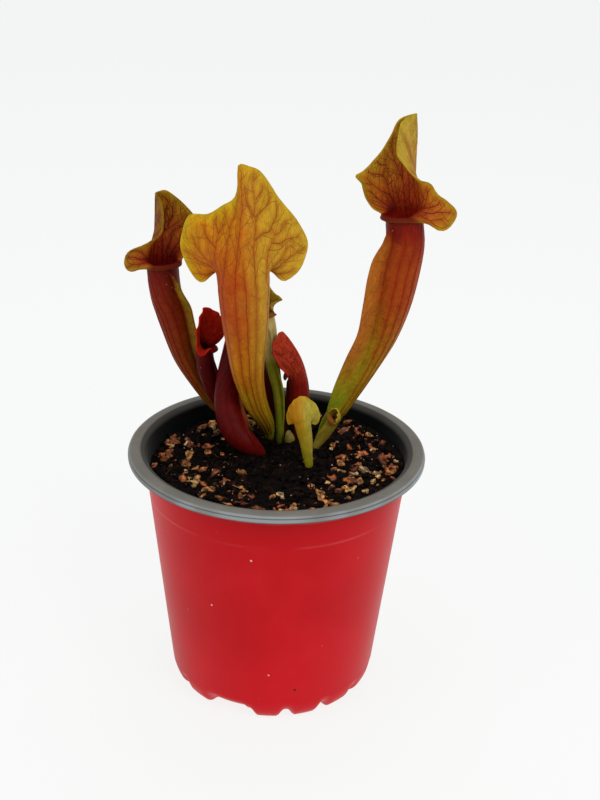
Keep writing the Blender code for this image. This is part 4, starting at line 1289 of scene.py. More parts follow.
FOOT = 91.2
LEAVES = (
    LeafForm(
        name="pitcher_right", finish=right_finish(), columns=128, tube_rows=100, hood_rows=72,
        veins=(
            (
                (0.18, 0.15), (0.18, 1.1), (0.16, 1.25), (0.15, 1.39), (0.16, 1.57), (0.16, 1.75), (0.15, 1.87),
                (0.13, 1.97),
            ),
            (
                (0.36, 0.15), (0.36, 1), (0.33, 1.3), (0.27, 1.5), (0.25, 1.69), (0.21, 1.77), (0.2, 1.92),
                (0.19, 1.97),
            ),
            ((0.25, 1.69), (0.27, 1.8), (0.28, 1.91), (0.27, 1.97)), ((0.21, 1.77), (0.23, 1.87), (0.23, 1.97)),
            ((0.48, 0.2), (0.42, 1), (0.35, 1.32), (0.37, 1.51), (0.35, 1.64), (0.31, 1.87)),
            ((0.15, 1.39), (0.13, 1.45), (0.12, 1.52), (0.1, 1.62)), ((0.27, 0.15), (0.27, 1.17), (0.24, 1.4)),
            ((0.08, 0.15), (0.08, 1.04), (0.08, 1.21), (0.07, 1.36), (0.06, 1.6)),
            ((-0.07, 0.15), (-0.07, 1.02), (-0.06, 1.21), (0.02, 1.34), (0.03, 1.7), (0.02, 1.9)),
            ((-0.2, 0.15), (-0.2, 1), (-0.16, 1.3), (-0.1, 1.6), (-0.06, 1.9)),
            ((-0.34, 0.2), (-0.34, 1), (-0.3, 1.3), (-0.26, 1.6), (-0.2, 1.9)),
            ((-0.46, 0.2), (-0.46, 1), (-0.4, 1.3), (-0.35, 1.52), (-0.3, 1.75)),
            ((-0.5, 1), (-0.5, 1.35), (-0.47, 1.59), (-0.41, 1.83)),
            ((-0.55, 1), (-0.55, 1.4), (-0.52, 1.67), (-0.5, 1.92)),
            ((-0.6, 0.2), (-0.6, 1), (-0.6, 1.5), (-0.56, 1.75), (-0.57, 1.92)),
            ((0.5, 1), (0.48, 1.3), (0.45, 1.6), (0.42, 1.85)),
            ((0.58, 0.2), (0.56, 1), (0.54, 1.4), (0.5, 1.7), (0.48, 1.9)),
        ),
        spine=(
            (15.5, 22.5, FOOT, 1.7, 0), (18, 22, 99.5, 1.9, 0.2), (21.5, 21.5, 107, 2.3, 2), (25, 21, 111.5, 2.7, 4),
            (31, 20, 122.5, 3.2, 7.5), (37, 19, 135.5, 4.2, 8.5), (41.5, 18, 148, 5.7, 6.8),
            (44.5, 17, 161.5, 7.1, 6.8), (46.5, 17, 174, 7.7, 6.8), (48, 17, 186.5, 7.6, 5.2),
            (47.5, 17, 194, 7.3, 2), (47, 17, 198.5, 7.3, 0),
        ),
        facing=((0, -62), (0.82, -60), (0.93, -50), (1, -42)),
        hood=(
            (-0.64, 56.5, 10.5, 197), (-0.6, 61, 9, 195), (-0.56, 64.5, 10, 196.5), (-0.5, 66.5, 12, 201),
            (-0.44, 64, 14, 204.5), (-0.38, 59.5, 15, 207), (-0.32, 56, 16, 211.5), (-0.26, 51.5, 11, 214),
            (-0.21, 47, 10.5, 218.5), (-0.15, 43, 9.5, 223.5), (-0.09, 42.5, 10.5, 229), (-0.04, 44.5, 14, 235.5),
            (0, 49.5, 18, 237.5), (0.06, 43.5, 18, 235.5), (0.13, 40.5, 19, 229.5), (0.21, 36, 20, 221),
            (0.29, 30.5, 20.5, 214.5), (0.34, 27.5, 20, 212.5), (0.4, 30.5, 22, 209), (0.47, 32, 24, 203),
            (0.54, 35.5, 23, 199), (0.6, 38.5, 21, 197.5),
        ),
        folds=((-0.36, 0, 0, 0), (-0.25, 1.5, 0, 0), (-0.16, 5.5, 1, 0), (-0.08, 5, 1, -1), (0.04, 0, 0, 0)),
        wall=0.8,
    ),
    LeafForm(
        name="pitcher_middle", finish=middle_finish(), columns=144, tube_rows=90, hood_rows=80,
        veins=(
            (
                (-0.06, 0.12), (-0.08, 0.95), (-0.07, 1.11), (-0.03, 1.31), (0.01, 1.46), (0.03, 1.62), (0.02, 1.77),
                (0.01, 1.94),
            ),
            ((-0.22, 0.12), (-0.25, 0.98), (-0.18, 1.25), (-0.11, 1.52), (-0.08, 1.72), (-0.03, 1.82)),
            (
                (-0.36, 0.14), (-0.34, 1), (-0.31, 1.27), (-0.23, 1.44), (-0.17, 1.64), (-0.14, 1.69), (-0.11, 1.77),
                (-0.1, 1.89),
            ),
            ((-0.17, 1.64), (-0.17, 1.82), (-0.15, 1.89)),
            ((-0.23, 1.44), (-0.25, 1.51), (-0.25, 1.66), (-0.23, 1.79)),
            ((-0.44, 1), (-0.37, 1.19), (-0.4, 1.4), (-0.37, 1.59), (-0.33, 1.79)),
            ((-0.5, 0.2), (-0.5, 1), (-0.45, 1.24), (-0.45, 1.55), (-0.43, 1.75), (-0.42, 1.91)),
            ((-0.57, 1), (-0.54, 1.49), (-0.52, 1.7), (-0.5, 1.92)), ((0.06, 0.15), (0.04, 0.8), (0.03, 1.15)),
            (
                (0.14, 0.12), (0.15, 0.95), (0.17, 1.04), (0.14, 1.25), (0.13, 1.42), (0.12, 1.56), (0.1, 1.71),
                (0.09, 1.82), (0.08, 1.94),
            ),
            ((0.14, 1.37), (0.18, 1.5), (0.21, 1.6), (0.21, 1.7), (0.21, 1.8), (0.19, 1.9)),
            ((0.12, 1.56), (0.15, 1.66), (0.17, 1.81), (0.16, 1.89)), ((0.11, 1.7), (0.13, 1.8), (0.13, 1.89)),
            ((0.11, 1.55), (0.07, 1.6), (0.05, 1.66), (0.04, 1.77)),
            (
                (0.3, 0.15), (0.34, 0.95), (0.36, 1.07), (0.31, 1.24), (0.26, 1.37), (0.26, 1.5), (0.25, 1.59),
                (0.23, 1.61), (0.21, 1.63),
            ),
            ((0.26, 1.49), (0.31, 1.61), (0.33, 1.85)), ((0.25, 1.59), (0.26, 1.71), (0.26, 1.84)),
            ((0.44, 0.2), (0.47, 1.02), (0.42, 1.41), (0.36, 1.57), (0.35, 1.75)),
            ((0.52, 1.05), (0.49, 1.41), (0.43, 1.55), (0.39, 1.77), (0.39, 1.92)),
            ((0.58, 1.1), (0.56, 1.5), (0.52, 1.67), (0.49, 1.85)), ((0.62, 0.2), (0.62, 1)),
            ((-0.64, 0.2), (-0.64, 1)),
        ),
        spine=(
            (-2.5, 25, FOOT, 1.7, 0), (-3.5, 23.5, 97.5, 1.9, 0), (-5, 20.5, 105.5, 3.3, 0.6),
            (-8.5, 15.5, 115, 4.3, 1.2), (-11, 10.5, 125.5, 5.2, 2), (-12.5, 6.5, 136, 6.4, 3),
            (-13, 4, 147.5, 7.8, 3), (-13.5, 2, 159, 9.1, 3), (-14, 1, 169.5, 9.8, 2), (-14.5, 1, 177.5, 10.2, 0),
        ),
        facing=((0, 180), (1, 180)),
        hood=(
            (-0.62, -25.5, 4, 177.5), (-0.56, -30, 2.5, 173.5), (-0.49, -35, 5, 176.5), (-0.42, -39, 8, 184.5),
            (-0.34, -38.5, 9, 191.5), (-0.26, -35.5, 8, 198.5), (-0.19, -28.5, 6, 199.5), (-0.12, -23, 4, 203.5),
            (-0.07, -18, 2.5, 207.5), (-0.035, -17, 3, 213), (0, -17, 4.5, 219), (0.06, -12.5, 5, 218.5),
            (0.12, -8, 6, 216), (0.2, -1, 8, 205.5), (0.29, 6, 10, 196.5), (0.37, 10, 9, 188.5),
            (0.44, 8.5, 6, 181.5), (0.5, 5.5, 3.5, 177.5), (0.56, 1, 2, 175), (0.62, -3, 4, 177.5),
        ),
        wall=0.8,
    ),
    LeafForm(
        name="pitcher_left", finish=left_finish(), columns=120, tube_rows=84, hood_rows=64,
        veins=(
            ((-0.13, 0.15), (-0.13, 1.02), (-0.12, 1.24), (-0.12, 1.41), (-0.17, 1.55), (-0.21, 1.7), (-0.21, 1.86)),
            ((-0.12, 1.41), (-0.1, 1.55), (-0.09, 1.69), (-0.09, 1.84), (-0.05, 1.91)),
            ((-0.14, 1.5), (-0.15, 1.66), (-0.14, 1.79), (-0.13, 1.87)),
            ((-0.26, 0.15), (-0.25, 0.98), (-0.24, 1.31), (-0.21, 1.44), (-0.23, 1.64), (-0.24, 1.8)),
            ((0.1, 0.15), (0.1, 0.99), (0.1, 1.1), (0.04, 1.3), (0.03, 1.6), (0.02, 1.9)),
            ((0, 0.15), (0, 0.98), (-0.03, 1.12), (-0.05, 1.3)),
            ((-0.36, 0.2), (-0.35, 1), (-0.34, 1.4), (-0.33, 1.8)),
            ((-0.46, 0.2), (-0.46, 1), (-0.45, 1.4), (-0.44, 1.8)),
            ((0.22, 0.15), (0.22, 1), (0.18, 1.3), (0.14, 1.6), (0.12, 1.9)),
            ((0.33, 0.15), (0.34, 1), (0.31, 1.3), (0.28, 1.6), (0.25, 1.9)),
            ((0.44, 0.2), (0.42, 1), (0.39, 1.44), (0.41, 1.76), (0.43, 1.96)),
            ((0.5, 1), (0.5, 1.4), (0.47, 1.64), (0.47, 1.94)),
            ((0.58, 0.2), (0.58, 1), (0.56, 1.52), (0.54, 1.72), (0.53, 1.89)),
            ((-0.56, 0.2), (-0.56, 1), (-0.55, 1.5), (-0.53, 1.85)),
        ),
        spine=(
            (-10.5, 29.5, FOOT, 1.7, 0), (-13, 30, 98, 1.9, 0.2), (-20, 31, 103, 2.4, 1.5),
            (-27.5, 32, 109.5, 3, 2.5), (-34.5, 32, 119.5, 3.6, 3), (-40.5, 32, 131, 4.6, 3.5),
            (-44, 32, 143, 5.6, 3.5), (-47, 32, 155, 6.3, 3.5), (-48.5, 32, 164, 6.4, 2.5), (-49, 32, 171, 6.4, 0),
        ),
        facing=((0, 78), (0.75, 74), (0.9, 50), (1, 30)),
        hood=(
            (-0.62, -41, 33, 172.5), (-0.56, -39.5, 34.5, 174.5), (-0.49, -37.5, 36.5, 177), (-0.41, -34, 37.5, 181),
            (-0.32, -34, 38, 186), (-0.23, -37.5, 38, 191), (-0.15, -42, 37, 196), (-0.07, -47.5, 35, 200.5),
            (0, -51.5, 32.5, 200), (0.06, -49.5, 30, 198), (0.13, -48.5, 29, 193), (0.2, -48, 28.5, 188.5),
            (0.26, -49.5, 28.5, 184.5), (0.32, -53, 30, 181), (0.38, -57, 31, 178.5), (0.44, -62, 31, 176),
            (0.5, -64, 29, 171.5), (0.56, -61.5, 26, 169), (0.62, -56.5, 24.5, 170.5),
        ),
        folds=((-0.02, 0, 0, 0), (0.1, -0.5, 1, 0), (0.2, -1.5, 1, 0), (0.34, 0, 0, 0)), wall=0.8,
    ),
    LeafForm(
        name="pitcher_dark_red", finish=dark_finish(), columns=104, tube_rows=100, hood_rows=36, vein_size=(0.2, 3),
        spine=(
            (-5.6, 9.4, FOOT, 1.7, 0), (-7, 8.6, 97.5, 2.4, 0), (-12, 8, 102, 4.4, 0.8),
            (-16.5, 9.5, 105.5, 5.4, 1.6), (-19.8, 13.5, 111, 5.6, 1.6), (-21.3, 17.5, 117, 5.4, 1.5),
            (-21.3, 20.5, 124, 5, 1.5), (-20.3, 22.5, 131, 4.7, 1.2), (-19, 23.5, 138, 4.4, 0.8),
            (-17.8, 24, 144.5, 4.3, 0),
        ),
        facing=((0, 60), (0.55, 65), (0.8, 120), (1, 155)), plain_hood=(0.85, 1, 1.05), arch=(0.4, 0),
    ),
    LeafForm(
        name="pitcher_back_red", finish=back_finish(), columns=88, tube_rows=70, hood_rows=44, vein_size=(0.18, 2.6),
        spine=(
            (-9.5, 23.5, FOOT, 1.6, 0), (-12.5, 23.7, 99, 1.8, 0), (-18.3, 24.2, 104.5, 2.2, 0.8),
            (-23, 24.8, 110.5, 2.6, 1.2), (-27, 25.2, 116.5, 3, 1.5), (-29.5, 25.2, 123, 3.3, 1.5),
            (-31.2, 25.2, 129.8, 3.5, 1), (-31.2, 25.2, 137, 3.6, 0),
        ),
        facing=((0, 75), (1, 85)),
        hood=(
            (-0.62, -28.5, 29.5, 136.5), (-0.54, -25.5, 31, 138), (-0.44, -24, 31, 142), (-0.32, -24, 30, 147),
            (-0.2, -25.5, 28.5, 151), (-0.1, -28.5, 27, 153.5), (0, -31, 25, 155), (0.1, -32.2, 23.5, 154),
            (0.22, -33.5, 21.5, 150), (0.34, -34.6, 20.3, 145), (0.44, -34.4, 20, 140), (0.52, -32.5, 20, 135.6),
            (0.58, -30, 21, 136.5), (0.63, -28.2, 22, 138),
        ),
        arch=(0.3, 0),
    ),
    LeafForm(
        name="pitcher_slender", finish=slender_finish(), columns=80, tube_rows=80, hood_rows=36,
        vein_size=(0.16, 2.8), pucker=0.08,
        spine=(
            (0.5, 23, FOOT, 1.6, 0), (0.8, 22.5, 99, 1.7, 0), (0.5, 22.8, 106.5, 1.7, 0.8), (0, 23, 113, 1.8, 1.5),
            (-0.7, 23.5, 120, 2.1, 2), (-2.2, 24, 127.5, 2.6, 2), (-4, 24, 137.5, 3.1, 1.5), (-5, 24, 146, 3.4, 1.2),
            (-6.5, 24, 153.5, 3.6, 0),
        ),
        facing=((0, 55), (1, 15)),
        hood=(
            (-0.6, -4, 21.5, 158), (-0.53, -1.8, 21.3, 159.3), (-0.45, 0.4, 21.3, 160.4), (-0.36, -0.6, 22, 161.7),
            (-0.27, -2.6, 23.2, 162.6), (-0.18, -4.4, 24.4, 164.4), (0, -8, 26, 170), (0.15, -10.5, 25, 166.5),
            (0.3, -13, 23.5, 163), (0.46, -14, 22, 159.5), (0.58, -11, 20.5, 157),
        ),
    ),
    LeafForm(
        name="pitcher_hidden_red", finish=hidden_finish(), columns=72, tube_rows=60, hood_rows=30,
        vein_size=(0.16, 2.8),
        spine=(
            (1, 29.5, FOOT, 1.7, 0), (1.5, 29.5, 99.5, 2, 0), (-0.5, 30, 107, 2.6, 0.8), (-2.8, 30.5, 113.5, 3, 1),
            (-5.8, 31, 120, 3.3, 1.2), (-9.2, 31.5, 126.5, 3.5, 1), (-12, 32.5, 132, 3.6, 0.8),
            (-14, 33.5, 137.5, 3.6, 0),
        ),
        facing=((0, 60), (0.6, 90), (1, 150)), plain_hood=(0.8, 0.9, 1), arch=(0.4, 0),
    ),
    LeafForm(
        name="pitcher_red", finish=red_leaf_finish(), columns=112, tube_rows=70, hood_rows=52, vein_size=(0.2, 2.8),
        spine=(
            (8, 27.5, FOOT, 1.9, 0), (8.8, 27.8, 99, 2.6, 0), (8.5, 27, 107, 3.8, 1.6), (8.5, 26, 114.5, 4.3, 1.6),
            (8.2, 25, 121.5, 4.1, 1.4), (7.2, 23.8, 127, 3.9, 0),
        ),
        facing=((0, -125), (1, -110)),
        hood=(
            (-0.6, 3.6, 18.4, 128.8), (-0.5, 1.5, 17.5, 131), (-0.38, -1.5, 16, 136), (-0.26, -3, 16, 141),
            (-0.13, -2, 17, 145), (0, 0.5, 19.5, 147.5), (0.13, 1, 22.5, 145.5), (0.28, 0.5, 26, 141),
            (0.44, 1, 28.5, 135), (0.6, 4.5, 28, 130.5),
        ),
        arch=(0.5, 0.05),
    ),
    LeafForm(
        name="pitcher_yellow", finish=yellow_finish(), columns=96, tube_rows=56, hood_rows=48, vein_size=(0.14, 2.6),
        pucker=0.08,
        spine=(
            (11.5, 0.5, FOOT, 1.4, 0), (13.2, -4, 99, 1.6, 0), (12.5, -4, 103.5, 2, 0.8), (11.8, -3.5, 109, 2.6, 1.2),
            (11, -3, 112.8, 3, 1), (10.2, -2.8, 116.8, 3.3, 0),
        ),
        facing=((0, 195), (1, 185)),
        hood=(
            (-0.62, 6.3, -1.5, 116), (-0.53, 4.3, -0.5, 115.5), (-0.42, 3.5, 0.5, 119), (-0.28, 4.6, 1, 122.8),
            (-0.14, 6.8, 0.8, 126), (0, 9.6, 0.5, 127.5), (0.14, 12.6, 0.8, 126.3), (0.28, 15.6, 1, 123.4),
            (0.42, 17, 0.5, 119.2), (0.53, 16.2, -0.5, 116), (0.62, 14.2, -1.5, 116.3),
        ),
        arch=(0.4, 0),
    ),
    LeafForm(
        name="young_pitcher", finish=young_finish(), columns=64, tube_rows=48, hood_rows=28, vein_size=(0.12, 2.2),
        pucker=0.06,
        spine=(
            (15, 13.3, FOOT, 1.3, 0), (15.9, 13.7, 98.5, 1.5, 0), (18.6, 14, 103.5, 2.3, 0.6),
            (21, 13, 108, 2.4, 0.6), (23.5, 12, 112.5, 2.2, 0),
        ),
        facing=((0, -60), (1, -60)), plain_hood=(0.75, 1, 0.8), wall=0.6,
    ),
)


@dataclass(frozen=True)
class Surround:
    """Shared measures of the pot's hollow, in millimetres."""

    rim_radius: float = 60.0
    rim_skirt_height: float = 102.9
    height: float = 106.0
    rim_inner_radius: float = 53.6
    neck_radius: float = 52.5
    neck_height: float = 102.0
    heel_radius: float = 42.5
    heel_height: float = 12.5
    foot_radius: float = 37.0
    foot_inner_radius: float = 31.0
    sheet: float = 0.9
    foot_pitch: float = 22.5
    first_groove: float = 10.0
    groove_half_width: float = 5.7
    groove_lift: float = 3.2
    pockets: tuple[float, ...] = (-24.0, 96.0, 216.0)
    pocket_half_width: float = 9.5
    pocket_lift: float = 4.2
    pocket_fade_height: float = 12.5

    def base_lift(self, x: float, y: float) -> float:
        """Find how far the base is raised between its feet.

        Args:
            x: Place along X.
            y: Place along Y.

        Returns:
            The lift.
        """
        angle = math.degrees(math.atan2(x, -y))
        offset = (angle - self.first_groove + self.foot_pitch / 2) % self.foot_pitch - self.foot_pitch / 2
        groove = self.groove_lift * (1 - smoothstep(1.0, self.groove_half_width, abs(offset)))
        nearest = min(abs((angle - middle + 180) % 360 - 180) for middle in self.pockets)
        reach = self.pocket_half_width
        pocket = self.pocket_lift * (1 - smoothstep(reach, reach + 3.0, nearest))
        return max(groove, pocket)

    def lift_base(self, shape: Shape, floor: float) -> None:
        """Raise the heel of a turned shape between the feet.

        Args:
            shape: Shape in millimetres.
            floor: Height of its lowest ring.
        """
        for vertex in shape.verts:
            x, y, z = vertex.co
            ring = smoothstep(self.foot_inner_radius, self.foot_radius - 1.5, math.hypot(x, y))
            fade = 1 - smoothstep(floor, self.pocket_fade_height, z)
            vertex.co.z += self.base_lift(x, y) * ring * fade

    def heel(self, shrink: float, floor: float) -> list[tuple[float, float]]:
        """Give the corner between wall and base.

        Args:
            shrink: How far it lies inside the pot's inner face.
            floor: Height of the base there.

        Returns:
            Radius and height of each point, from the wall down to the foot.
        """
        radius = self.heel_radius - shrink
        return [
            (radius, self.heel_height),
            (radius - 0.6, 7.5 + 0.2 * floor),
            (radius - 2.2, 3.2 + 0.6 * floor),
            (self.foot_radius - shrink, floor),
            (self.foot_inner_radius - shrink, floor),
        ]


def rounded_line(points: list[tuple[float, float]], step: float) -> list[Vector]:
    """Round a line of radius and height points and divide it evenly.

    Args:
        points: Radius and height of each corner.
        step: Wanted distance between points.

    Returns:
        The finer line.
    """
    travelled = 0.0
    keys = [(0.0, *points[0])]
    for before, after in zip(points, points[1:]):
        travelled += math.dist(before, after)
        keys.append((travelled, *after))
    count = max(2, round(travelled / step))
    return [smooth_key(tuple(keys), travelled * k / count) for k in range(count + 1)]


def turn_line(line: list[Vector], steps: int) -> Shape:
    """Turn a line of radius and height points round Z into a closed shape.

    Args:
        line: The line, with both ends on the axis.
        steps: Steps of the full turn.

    Returns:
        The turned shape.
    """
    shape = bmesh.new()
    knots = [shape.verts.new((point[0], 0.0, point[1])) for point in line]
    edges = [shape.edges.new(pair) for pair in zip(knots, knots[1:])]
    bmesh.ops.spin(
        shape, geom=knots + edges, cent=(0, 0, 0), axis=(0, 0, 1), dvec=(0, 0, 0),
        angle=2 * math.pi, steps=steps, use_merge=True, use_duplicate=False,
    )
    bmesh.ops.remove_doubles(shape, verts=shape.verts, dist=0.001)
    bmesh.ops.recalc_face_normals(shape, faces=shape.faces)
    return shape


@dataclass
class Pot:
    """The thin formed pot with its turned-down rim."""

    size: Surround = Surround()
    steps: int = 256
    ring_heights: tuple[float, ...] = (88.0, 98.6)
    ring_relief: float = 0.16
    ring_width: float = 0.5
    groove_width: float = 0.28
    groove_height: float = 104.6
    groove_depth: float = 0.3

    def line(self) -> list[Vector]:
        """Draw the inner and upper face of the sheet, from the skirt's edge to the axis."""
        s = self.size
        rim = [
            (s.rim_radius, s.rim_skirt_height),
            (s.rim_radius, s.rim_skirt_height + 1.5),
            (s.rim_radius - 0.35, s.height - 0.9),
            (s.rim_radius - 1.5, s.height - 0.15),
            (s.rim_radius - 3.2, s.height),
            (s.rim_inner_radius + 1.0, s.height - 0.35),
            (s.rim_inner_radius - 0.3, s.height - 1.2),
            (s.neck_radius + 0.15, s.height - 2.4),
            (s.neck_radius, s.neck_height),
        ]
        wall_slope = (s.neck_radius - s.heel_radius) / (s.neck_height - s.heel_height)
        low = s.heel_height + 2.0
        wall = [(s.neck_radius, s.neck_height), (s.heel_radius + wall_slope * 2.0, low)]
        count = 60
        middle = [
            Vector((wall[0][0], wall[0][1])).lerp(Vector((wall[1][0], wall[1][1])), k / count)
            for k in range(1, count)
        ]
        heel = [wall[1], *s.heel(0.0, s.sheet)]
        base = [Vector((s.foot_inner_radius * (1 - k / 5), s.sheet)) for k in range(1, 6)]
        edge = rounded_line(rim, 0.22)
        for point in edge:
            if point.x > s.rim_radius - 1.0:
                depth = math.exp(-(((point.y - self.groove_height) / self.groove_width) ** 2))
                point.x -= self.groove_depth * depth
        return edge + middle + rounded_line(heel, 1.0) + base

    def build(self) -> bpy.types.Object:
        """Turn the sheet, raise its feet's gaps and finish it.

        Returns:
            The piece.
        """
        inside = self.line()
        outside = []
        for k, point in enumerate(inside):
            ahead = inside[min(k + 1, len(inside) - 1)] - inside[max(k - 1, 0)]
            ahead.normalize()
            outside.append(point + Vector((-ahead.y, ahead.x)) * self.size.sheet)
        outside[-1].x = 0.0
        for point in outside:
            point.y = max(point.y, 0.0)
        for point in outside:
            if 20.0 < point.y < 101.0:
                for ring in self.ring_heights:
                    point.x += self.ring_relief * math.exp(-(((point.y - ring) / self.ring_width) ** 2))
        tip = (inside[0] + outside[0]) / 2 - Vector((0.0, 0.25))
        shape = turn_line(inside[::-1] + [tip] + outside, self.steps)
        sides = search_tree([point.to_3d() for point in inside + outside])
        inner = shape.verts.layers.float.new("inner")
        for vertex in shape.verts:
            nearest = sides.find((math.hypot(vertex.co.x, vertex.co.y), vertex.co.z, 0.0))[1]
            vertex[inner] = float(nearest < len(inside))
        self.size.lift_base(shape, self.size.sheet)
        piece = finish_mesh("nursery_pot", shape, self.finish())
        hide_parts("pot")
        return piece

    def finish(self) -> bpy.types.Material:
        """Lay out red satin plastic with a grey rim, a dark inside, rings and specks.

        Returns:
            The material.
        """
        g = Graph("pot_plastic")
        place = g.object_place()
        parts = g.node("SeparateXYZ", Vector=place)
        x, y, z = parts.outputs["X"], parts.outputs["Y"], parts.outputs["Z"]
        radius = g.math("SQRT", g.plus(g.times(x, x), g.times(y, y)))
        broad = g.noise(place, 14.0, 3.0)
        cloudy = g.noise(place, 55.0, 4.0, 0.6)
        red = g.mix(g.ease(broad, 0.35, 0.65), (0.50, 0.004, 0.008), (0.60, 0.006, 0.012))
        red = g.mix(g.times(g.ease(cloudy, 0.5, 0.75), 0.10), red, (0.62, 0.03, 0.04))
        for low, high, share in ((0.0868, 0.0880, 0.20), (0.0981, 0.0989, 0.28)):
            band = g.times(g.ease(z, low, (low + high) / 2), g.ease(z, high + 0.0006, (low + high) / 2))
            patchy = g.times(band, g.ease(g.noise(place, 30.0, 2.0), 0.35, 0.6))
            red = g.mix(g.times(patchy, share), red, (0.72, 0.22, 0.22))
        for scale, size, colour, share in (
            (130.0, 0.034, (0.86, 0.55, 0.52), 0.85), (95.0, 0.036, (0.05, 0.01, 0.01), 0.9),
            (240.0, 0.06, (0.7, 0.2, 0.2), 0.4),
        ):
            speck = g.node("TexVoronoi", Vector=place, Scale=scale)
            chosen = g.node("SeparateColor", Color=speck.outputs["Color"])
            rare = g.ease(chosen.outputs[0], 0.93, 0.95)
            spot = g.times(g.ease(speck.outputs["Distance"], size * 2.2, size), rare)
            red = g.mix(g.times(spot, share), red, colour)
        grey_cloud = g.noise(place, 90.0, 4.0, 0.6)
        grey = g.mix(g.ease(grey_cloud, 0.3, 0.75), (0.158, 0.151, 0.132), (0.192, 0.185, 0.163))
        # patchy, darker brown towards the rim's inner edge
        dark_patches = g.times(g.ease(radius, 0.0568, 0.0535), g.ease(grey_cloud, 0.35, 0.62))
        grey = g.mix(g.times(dark_patches, 0.6), grey, (0.09, 0.07, 0.05))
        # the turned-down edge carries a painted highlight, with painted shade in its groove and a painted shadow at
        # its lower edge
        skirt = g.ease(radius, 0.0588, 0.0594)
        skirt_highlight = g.plus(g.times(g.ease(g.noise(place, 42.0, 3.0), 0.4, 0.62), 0.55), 0.3)
        grey = g.mix(g.times(skirt, skirt_highlight), grey, (0.31, 0.34, 0.355))
        # painted shade in the groove and a painted shadow along the skirt's lower edge
        groove = g.times(g.ease(z, 0.1043, 0.1046), g.ease(z, 0.1050, 0.1046))
        skirt_foot_shadow = g.ease(z, 0.1034, 0.1030)
        grey = g.mix(g.times(g.most(groove, skirt_foot_shadow), g.times(skirt, 0.75)), grey, (0.05, 0.05, 0.05))
        top = g.times(g.ease(radius, 0.0553, 0.0558), g.ease(z, 0.1005, 0.101))
        on_rim = g.most(g.ease(z, 0.1024, 0.1027), top)
        colour = g.mix(on_rim, red, grey)
        hollow = g.times(g.attribute("inner"), g.ease(radius, 0.0553, 0.0547))
        dark = g.mix(g.ease(z, 0.1032, 0.1050), (0.004, 0.006, 0.006), (0.05, 0.05, 0.045))
        colour = g.mix(hollow, colour, dark)
        scuff = g.noise(place, 700.0, 3.0)
        rough = g.plus(g.times(cloudy, 0.16), g.plus(g.times(scuff, 0.06), 0.30))
        grain = g.noise(place, 1500.0, 2.0)
        waves = g.noise(place, 18.0, 2.0)
        height = g.plus(g.times(grain, 0.12), g.times(waves, 1.2))
        return g.shade(
            Base_Color=colour, Roughness=rough, Normal=g.bump(height, 0.35, 0.0005), Specular_IOR_Level=0.07,
            Sheen_Weight=0.14, Sheen_Roughness=0.35,
        )


